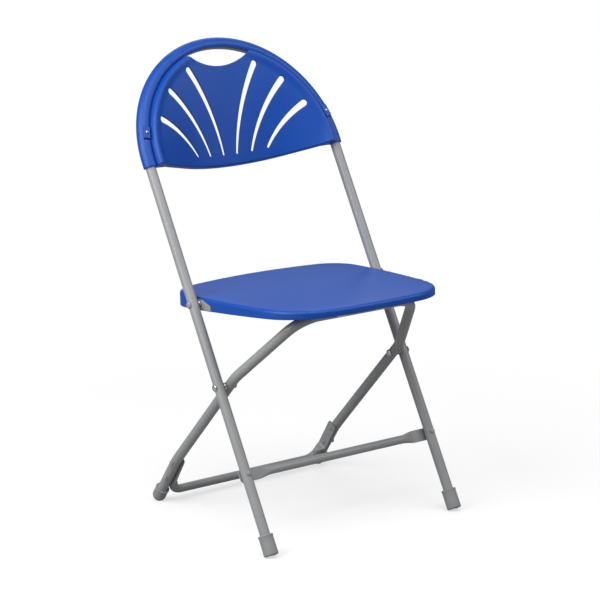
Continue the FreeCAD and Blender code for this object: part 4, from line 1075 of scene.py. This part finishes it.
def fan_back(tubes, back):
    """The moulded back: the border and the rim on both sides, the net of the panel on its front and
    back faces, and rounded walls through the slots, along the hand hole and round the return at the
    lower edge."""
    fan = FanLayout(tubes, back)
    patches = []
    for mirror in ((1, 1, 1), (-1, 1, 1)):
        border, rim = border_half(fan) * mirror, rim_half(fan) * mirror
        inner = np.stack((border[:, 0], border[:, -1]), 1)[:fan.foot_rows + 1]
        patches += [sheet(border), lid(border[0]), sheet(inner), sheet(rim, True), lid(rim[0])]

    def on_face(flat, depth):
        return on_upright(flat[..., 0], flat[..., 1], fan.face(flat[..., 0], flat[..., 1], depth))

    flat, corners, foot_x = panel_net(fan, fan_slots(fan, back.edge))
    patches += [(on_face(flat, 0.0), corners), (on_face(flat, back.panel), corners)]
    steps = edge_steps(back)
    walls = np.stack([np.stack(fan_slots(fan, out)) for out in steps[:, 0]], 1)
    patches += [sheet(on_face(wall, steps[:, 1, None]), True) for wall in walls]
    patches.append(sheet(on_face(np.stack([grip_arc(fan, out) for out in steps[:, 0]]), steps[:, 1, None])))
    foot = foot_strip(fan, foot_x)
    patches += [sheet(foot), lid(foot[:, 0]), lid(foot[:, -1])]
    patches += [sheet(foot[[0, -1]][:, :6]), sheet(foot[[0, -1]][:, -6:])]
    return patches


def boss_place(tubes, back, sign):
    """Sideways and along places of a screw boss on the arch, and its turn round the arch."""
    half = half_spacing(tubes)
    turn = math.asin(back.boss_height / half)
    return sign * half * math.cos(turn), tubes.arch_start + back.boss_height, turn


class CHAIR_OT_back(Operator):
    """Mould the fan back with its slots, hand hole, rim and screw bosses, and drive its screws"""

    bl_idname = "chair.back"
    bl_label = "Fan back"

    def execute(self, context):
        tubes, back = context.scene.chair_tubes, context.scene.chair_back
        plastic = blue_moulding(context.scene.chair_finish)
        piece("fan_back", fan_back(tubes, back), ["backrest"], plastic)
        wide, tall, corner, edge = back.boss_width / 2, back.boss_length / 2, 2.2 * MM, 0.9 * MM
        head, height, bite, shank = 6 * MM, 2.2 * MM, 6 * MM, 4 * MM
        outline = rounded_outline(((-wide, -tall), (wide, -tall), (wide, tall), (-wide, tall)), corner)
        bosses, screws = [], []
        for _, sign in SIDES:
            x, along, turn = boss_place(tubes, back, sign)
            cos, sin = math.cos(turn), sign * math.sin(turn)

            def on_boss(u, v, level):
                return on_upright(x + u * cos - v * sin, along + u * sin + v * cos, level)

            top = back.rim + back.boss_proud
            bosses += slab(outline, back.bore + MM, top, edge, on_boss)
            screws += cross_head(on_upright(x, along, top), FORWARD, head, height, bite, shank)
        piece("back_bosses", bosses, [], plastic, body=BODY_OF["backrest"])
        zinc = zinc_plate(context.scene.chair_finish)
        piece("back_screws", screws, ["backrest_screws"], zinc)
        return {"FINISHED"}


# Seat

def seat_outline(seat):
    """The seat's edge from above, with its outward normals: a front arc, two sides and a rear arc,
    joined by corner arcs that touch both. An arc is its centre plus its radius times its directions, so
    an inset is a smaller radius."""
    front = np.array((0.0, seat.front_radius - seat.front))
    rear = np.array((0.0, seat.rear - seat.rear_radius))
    flank = np.array((seat.half - seat.side_radius, seat.widest))

    def corner_centre(end, end_radius, corner, way):
        gap = end - flank
        apart = np.linalg.norm(gap)
        far, near = seat.side_radius - corner, end_radius - corner
        share = (far ** 2 - near ** 2 + apart ** 2) / (2 * apart)
        aside = math.sqrt(far ** 2 - share ** 2)
        return flank + gap / apart * share + np.array((-gap[1], gap[0])) / apart * aside * way

    def heading(start, end):
        return math.atan2(end[1] - start[1], end[0] - start[0])

    fore = corner_centre(front, seat.front_radius, seat.front_corner, -1)
    aft = corner_centre(rear, seat.rear_radius, seat.rear_corner, 1)
    # the bracket's recess needs stations at its own ends
    recess = np.array((-seat.bracket_front, -seat.bracket_rear / 2, seat.bracket_rear))
    recess = np.sort(np.concatenate((recess, recess[[0, 2]] + (-0.05 * MM, 0.05 * MM))))
    flank_turn = np.concatenate((np.linspace(heading(flank, fore), heading(flank, aft), 44),
                                 np.arcsin((recess - seat.widest) / seat.side_radius)))
    arcs = (
        (front, seat.front_radius, np.linspace(-math.pi / 2, heading(front, fore), 26)),
        (fore, seat.front_corner, np.linspace(heading(front, fore), heading(flank, fore), 22)),
        (flank, seat.side_radius, np.sort(flank_turn)),
        (aft, seat.rear_corner, np.linspace(heading(flank, aft), heading(rear, aft), 20)),
        (rear, seat.rear_radius, np.linspace(heading(rear, aft), math.pi / 2, 26)),
    )
    points, normals = [], []
    for centre, radius, turn in arcs:
        out = np.stack((np.cos(turn), np.sin(turn)), -1)
        points.append(centre + radius * out)
        normals.append(out)
    points, normals = np.concatenate(points), np.concatenate(normals)
    points = np.concatenate((points, points[::-1] * (-1, 1)))
    normals = np.concatenate((normals, normals[::-1] * (-1, 1)))
    keep = np.linalg.norm(points - np.roll(points, 1, 0), axis=1) > WELD
    return points[keep], normals[keep]


def skirt_foot(seat, edge):
    """Lower edge of the skirt at each place of the outline: a straight slope from front to rear, lifted
    round the hinge brackets to the line of their upper edges."""
    y = edge[:, 1]
    slope = seat.top - seat.skirt_front + (y + seat.front) / (seat.front + seat.rear) * (
        seat.skirt_front - seat.skirt_rear)
    nose = (y + seat.bracket_front) / (seat.bracket_front - seat.bracket_rear / 2)
    lift = seat.bracket_top - seat.bracket_nose * (1 - np.clip(nose, 0, 1))
    beside = (y >= -seat.bracket_front - WELD) & (y <= seat.bracket_rear + WELD)
    return np.where(beside & (np.abs(edge[:, 0]) > seat.half / 2), lift, slope)


def seat_shell(seat):
    """The moulded seat: rings from its middle out to the edge, a quarter round, the skirt down to its
    sloping foot, round the foot and up inside, and rings back to the middle of the underside."""
    edge, normal = seat_outline(seat)
    foot = skirt_foot(seat, edge)
    under = seat.top - seat.plate
    middle = np.array((0.0, (seat.rear - seat.front) / 2))

    def ring(inset, level):
        flat = edge - normal * inset
        return on_seat(seat, flat[:, 0], flat[:, 1], level)

    def fan_in(inset, share, level):
        flat = middle + (edge - normal * inset - middle) * share
        return on_seat(seat, flat[:, 0], flat[:, 1], level)

    shares = np.linspace(0, 1, 16)
    falls = seat.crown * shares ** 6
    top = seat.top - seat.crown
    rows = [fan_in(seat.edge, share, seat.top - fall) for share, fall in zip(shares, falls)]
    rows += [ring(inset, top - drop) for inset, drop in quarter(8)[1:] * seat.edge]
    side_top, side_foot = top - seat.edge, foot + seat.foot_round
    fall = np.minimum(side_foot, side_top) - side_top
    rows += [ring(0, side_top + fall * share) for share in (0.34, 0.67, 1.0)]
    half = seat.skirt / 2
    rows += [ring(half - half * math.cos(t), foot + seat.foot_round * (1 - math.sin(t)))
             for t in np.linspace(0, math.pi, 8)[1:]]
    inner = np.maximum(under - seat.fillet, side_foot)
    rows += [ring(seat.skirt, side_foot + (inner - side_foot) * share) for share in (0.5, 1.0)]
    rows += [ring(seat.skirt + seat.fillet * t * t, inner + (under - inner) * t * (2 - t))
             for t in (0.35, 0.7, 1.0)]
    rows += [fan_in(seat.skirt + seat.fillet, share, under) for share in shares[-2::-2]]
    rows.append(fan_in(seat.skirt, 0.0, under))
    return [sheet(np.stack(rows), True)]


def seat_ribs(seat, saddle_y):
    """Ribs and pads below the seat plate: thin slabs set lengthways and crossways at an even pitch,
    each as long as the outline is wide there, and a block above each saddle clip."""
    edge, normal = seat_outline(seat)
    edge = edge - normal * (seat.skirt / 2)
    right = edge[:len(edge) // 2]
    under = seat.top - seat.plate
    low, high, half = under - seat.rib_depth, under + seat.plate / 2, seat.rib / 2
    count = int(seat.half / seat.rib_pitch)
    nose = np.argmax(right[:, 0])
    patches = []

    def block(x0, x1, y0, y1):
        outline = rounded_outline(((x0, y0), (x1, y0), (x1, y1), (x0, y1)), 0.5 * MM, 3)
        return slab(outline, low, high, 0.4 * MM, lambda x, y, z: on_seat(seat, x, y, z))

    for step in range(-count, count + 1):
        x = step * seat.rib_pitch
        parts = (right[:nose + 1], right[nose:][::-1])
        ends = [np.interp(abs(x), part[:, 0], part[:, 1]) for part in parts]
        patches += block(x - half, x + half, *ends)
    for step in range(1, int((seat.front + seat.rear) / seat.rib_pitch) + 1):
        y = seat.rear - step * seat.rib_pitch
        reach = np.interp(y, right[:, 1], right[:, 0])
        if -seat.bracket_front - half < y < seat.bracket_rear + half:
            reach = min(reach, seat.half - seat.bracket_flange - 2 * seat.skirt)
        patches += block(-reach, reach, y - half, y + half)
    wide, pad_front = seat.clip_width / 2, 9.5 * MM
    for _, sign in SIDES:
        x = sign * seat.clip_at
        patches += block(x - wide, x + wide, saddle_y - pad_front, saddle_y + seat.clip_tab)
    return patches


def saddle_clip(seat, tubes, sign, saddle):
    """Steel hook: a flat strip along a tab, over the cross tube and down its front, on a slightly
    larger radius."""
    radius = tubes.tube / 2 + seat.clip_gap + seat.clip / 2
    swing = np.linspace(0, seat.clip_lip, 24)
    y = np.concatenate(([saddle[0] + seat.clip_tab], saddle[0] - radius * np.sin(swing)))
    z = np.concatenate(([saddle[1] + radius], saddle[1] + radius * np.cos(swing)))
    path = on_seat(seat, sign * seat.clip_at, y, z)
    turn = np.concatenate(([0.0], swing))
    headings = on_seat(seat, 0.0, -np.cos(turn), -np.sin(turn)) - on_seat(seat, 0.0, 0.0, 0.0)
    w, t = seat.clip_width / 2, seat.clip / 2
    strip = rounded_outline(((-w, -t), (w, -t), (w, t), (-w, t)), 0.5 * MM, 4)
    return closed(carried(path, headings, X_AXIS, strip))


def hinge_bracket(seat, sign):
    """Steel angle: a cheek let into the skirt, with a sloping nose, and a flange below the seat plate."""
    top, front, rear = seat.bracket_top, seat.bracket_front, seat.bracket_rear
    slope = (seat.skirt_front - seat.skirt_rear) / (seat.front + seat.rear)

    def foot(y):
        return seat.top - seat.skirt_front + (y + seat.front) * slope

    corners = ((-front, foot(-front)), (rear, foot(rear)), (rear, top), (-rear / 2, top),
               (-front, top - seat.bracket_nose))
    cheek = rounded_outline(corners, (1.2 * MM, 1.2 * MM, 0.6 * MM, 2 * MM, 2 * MM), 5)
    proud, clear = 0.25 * MM, 0.05 * MM
    plate = slab(cheek, seat.half - seat.bracket, seat.half + proud, 0.5 * MM,
                 lambda y, z, x: on_seat(seat, sign * x, y, z))
    inner, outer = seat.half - seat.bracket_flange, seat.half - 0.6 * MM
    flange = rounded_outline(((inner, -rear / 2), (outer, -rear / 2), (outer, rear), (inner, rear)),
                             (5 * MM, 0.3 * MM, 0.3 * MM, 5 * MM), 6)
    shelf = slab(flange, top - seat.bracket, top - clear, 0.4 * MM,
                 lambda x, y, z: on_seat(seat, sign * x, y, z))
    return plate + shelf


class CHAIR_OT_seat(Operator):
    """Mould the seat with its skirt and ribs, and fit its hinge brackets, saddle clips and screws"""

    bl_idname = "chair.seat"
    bl_label = "Seat and hardware"

    def execute(self, context):
        tubes, seat = context.scene.chair_tubes, context.scene.chair_seat
        plastic = blue_moulding(context.scene.chair_finish)
        coat = grey_coat(context.scene.chair_finish)
        zinc = zinc_plate(context.scene.chair_finish)
        offset = cross_tube(tubes) - SEAT_PIVOT
        cos, sin = math.cos(seat.tilt), math.sin(seat.tilt)
        saddle = (offset[1] * cos - offset[2] * sin, offset[1] * sin + offset[2] * cos)
        piece("seat_shell", seat_shell(seat), ["seat"], plastic)
        piece("seat_ribs", seat_ribs(seat, saddle[0]), [], plastic, body=BODY_OF["seat"])
        down = on_seat(seat, 0.0, 0.0, -1.0) - on_seat(seat, 0.0, 0.0, 0.0)
        size = (7 * MM, 2 * MM, 5 * MM, 4 * MM)
        bracket_screws, clip_screws = [], []
        for name, sign in SIDES:
            bracket, clip = hinge_bracket(seat, sign), saddle_clip(seat, tubes, sign, saddle)
            piece(f"seat_bracket_{name}", bracket, [f"hinge_bracket_{name}"], coat)
            piece(f"seat_clip_{name}", clip, [f"saddle_clip_{name}"], zinc)
            x = sign * (seat.half - seat.bracket_flange / 2 - seat.bracket)
            for y in (-5 * MM, 12 * MM):
                place = on_seat(seat, x, y, seat.bracket_top - seat.bracket)
                bracket_screws += cross_head(place, down, *size)
            level = saddle[1] + tubes.tube / 2 + seat.clip_gap
            place = on_seat(seat, sign * seat.clip_at, saddle[0] + 17 * MM, level)
            clip_screws += cross_head(place, down, *size)
        piece("bracket_screws", bracket_screws, ["hinge_bracket_screws"], zinc)
        piece("clip_screws", clip_screws, ["saddle_clip_screws"], zinc)
        return {"FINISHED"}


# Stage

def studio_floor(colours):
    """Pale floor that takes the chair's shadow near it, and that the camera sees as plain white farther
    away."""
    material = bpy.data.materials.new("Studio floor")
    material.use_nodes = True
    tree = material.node_tree
    tree.nodes.clear()
    rays = add(tree, "ShaderNodeLightPath")
    place = add(tree, "ShaderNodeTexCoord")
    away = add(tree, "ShaderNodeVectorMath", operation="LENGTH")
    share = {"From Min": 0.45, "From Max": 1.2, "To Min": 0.6, "To Max": 1.0}
    fade = add(tree, "ShaderNodeMapRange", share, interpolation_type="SMOOTHSTEP")
    matt = add(tree, "ShaderNodeBsdfDiffuse", {"Color": (*colours.floor, 1)})
    pale = add(tree, "ShaderNodeBsdfDiffuse", {"Color": (*colours.floor_seen, 1)})
    white = add(tree, "ShaderNodeEmission", {"Color": (1, 1, 1, 1), "Strength": 1.0})
    seen = add(tree, "ShaderNodeMixShader")
    both = add(tree, "ShaderNodeMixShader")
    end = add(tree, "ShaderNodeOutputMaterial")
    tree.links.new(place.outputs["Object"], away.inputs[0])
    tree.links.new(away.outputs["Value"], fade.inputs["Value"])
    tree.links.new(fade.outputs["Result"], seen.inputs["Fac"])
    tree.links.new(pale.outputs["BSDF"], seen.inputs[1])
    tree.links.new(white.outputs["Emission"], seen.inputs[2])
    tree.links.new(rays.outputs["Is Camera Ray"], both.inputs["Fac"])
    tree.links.new(matt.outputs["BSDF"], both.inputs[1])
    tree.links.new(seen.outputs["Shader"], both.inputs[2])
    tree.links.new(both.outputs["Shader"], end.inputs["Surface"])
    return material


def studio_world():
    """White surroundings for the camera, and a softer light for everything else."""
    world = bpy.data.worlds.new("Studio")
    world.use_nodes = True
    tree = world.node_tree
    rays = add(tree, "ShaderNodeLightPath")
    level = add(tree, "ShaderNodeMapRange", {"To Min": 0.18, "To Max": 1.0})
    tree.links.new(rays.outputs["Is Camera Ray"], level.inputs["Value"])
    back = tree.nodes["Background"]
    back.inputs["Color"].default_value = (1, 1, 1, 1)
    tree.links.new(level.outputs["Result"], back.inputs["Strength"])
    return world


# Each studio lamp: name, azimuth and elevation in degrees, distance and size in metres, and power in watts
LAMPS = (
    ("left", -92, 32, 2.3, 2.0, 58.0),
    ("front", -16, 68, 3.0, 2.4, 54.0),
    ("right", 45, 33, 2.5, 1.4, 17.0),
    ("rear", 146, 34, 1.6, 1.0, 3.2),
)


def toward(azimuth, elevation):
    """Direction from the chair at an azimuth, from its front towards its left, and an elevation."""
    return Vector((math.sin(azimuth) * math.cos(elevation), -math.cos(azimuth) * math.cos(elevation),
                   math.sin(elevation)))


class CHAIR_OT_stage(Operator):
    """Lay the floor, hang the studio lights and set the camera"""

    bl_idname = "chair.stage"
    bl_label = "Studio"

    def execute(self, context):
        scene, stage = context.scene, context.scene.chair_stage
        scene.view_settings.view_transform = "Standard"
        scene.world = studio_world()
        reach = 30.0
        level = -0.4 * MM
        mesh = bpy.data.meshes.new("floor")
        corners = [(x * reach, y * reach, level) for x, y in ((-1, -1), (1, -1), (1, 1), (-1, 1))]
        mesh.from_pydata(corners, [], [(0, 1, 2, 3)])
        mesh.materials.append(studio_floor(scene.chair_finish))
        floor = bpy.data.objects.new("floor", mesh)
        scene.collection.objects.link(floor)
        middle = Vector((0.0, 0.0, 0.5))
        for name, azimuth, elevation, distance, size, power in LAMPS:
            light = bpy.data.lights.new(name, "AREA")
            light.shape = "SQUARE"
            light.size = size
            light.energy = power
            lamp = bpy.data.objects.new(name, light)
            scene.collection.objects.link(lamp)
            out = toward(math.radians(azimuth), math.radians(elevation))
            lamp.location = middle + out * distance
            lamp.rotation_euler = (-out).to_track_quat("-Z", "Y").to_euler()
        camera = bpy.data.objects.new("camera", bpy.data.cameras.new("camera"))
        scene.collection.objects.link(camera)
        away = toward(stage.azimuth, stage.elevation)
        camera.location = Vector(stage.target) + away * stage.distance
        camera.rotation_euler = (-away).to_track_quat("-Z", "Y").to_euler()
        camera.data.lens = stage.lens
        scene.camera = camera
        return {"FINISHED"}


class CHAIR_PT_pieces(Panel):
    """Pieces of the chair, in the order they are made"""

    bl_idname = "CHAIR_PT_pieces"
    bl_label = "Folding chair"
    bl_space_type = "VIEW_3D"
    bl_region_type = "UI"
    bl_category = "Chair"

    def draw(self, context):
        for operator in OPERATORS:
            self.layout.operator(operator.bl_idname)


GROUPS = {"chair_tubes": ChairTubes, "chair_back": ChairBack, "chair_seat": ChairSeat,
          "chair_finish": ChairFinish, "chair_stage": ChairStage}
OPERATORS = (CHAIR_OT_frame, CHAIR_OT_rivets, CHAIR_OT_caps, CHAIR_OT_back, CHAIR_OT_seat, CHAIR_OT_stage)


def register():
    """Adds the chair's sizes, operators and panel to Blender."""
    for kind in (*GROUPS.values(), *OPERATORS, CHAIR_PT_pieces):
        bpy.utils.register_class(kind)
    for name, kind in GROUPS.items():
        setattr(bpy.types.Scene, name, PointerProperty(type=kind))


def unregister():
    """Takes the chair's sizes, operators and panel out of Blender."""
    for name in GROUPS:
        delattr(bpy.types.Scene, name)
    for kind in (CHAIR_PT_pieces, *reversed(OPERATORS), *reversed(GROUPS.values())):
        bpy.utils.unregister_class(kind)


def main():
    """Makes every piece in order."""
    register()
    bpy.ops.chair.frame()
    bpy.ops.chair.rivets()
    bpy.ops.chair.caps()
    bpy.ops.chair.back()
    bpy.ops.chair.seat()
    bpy.ops.chair.stage()


if __name__ == "__main__":
    main()
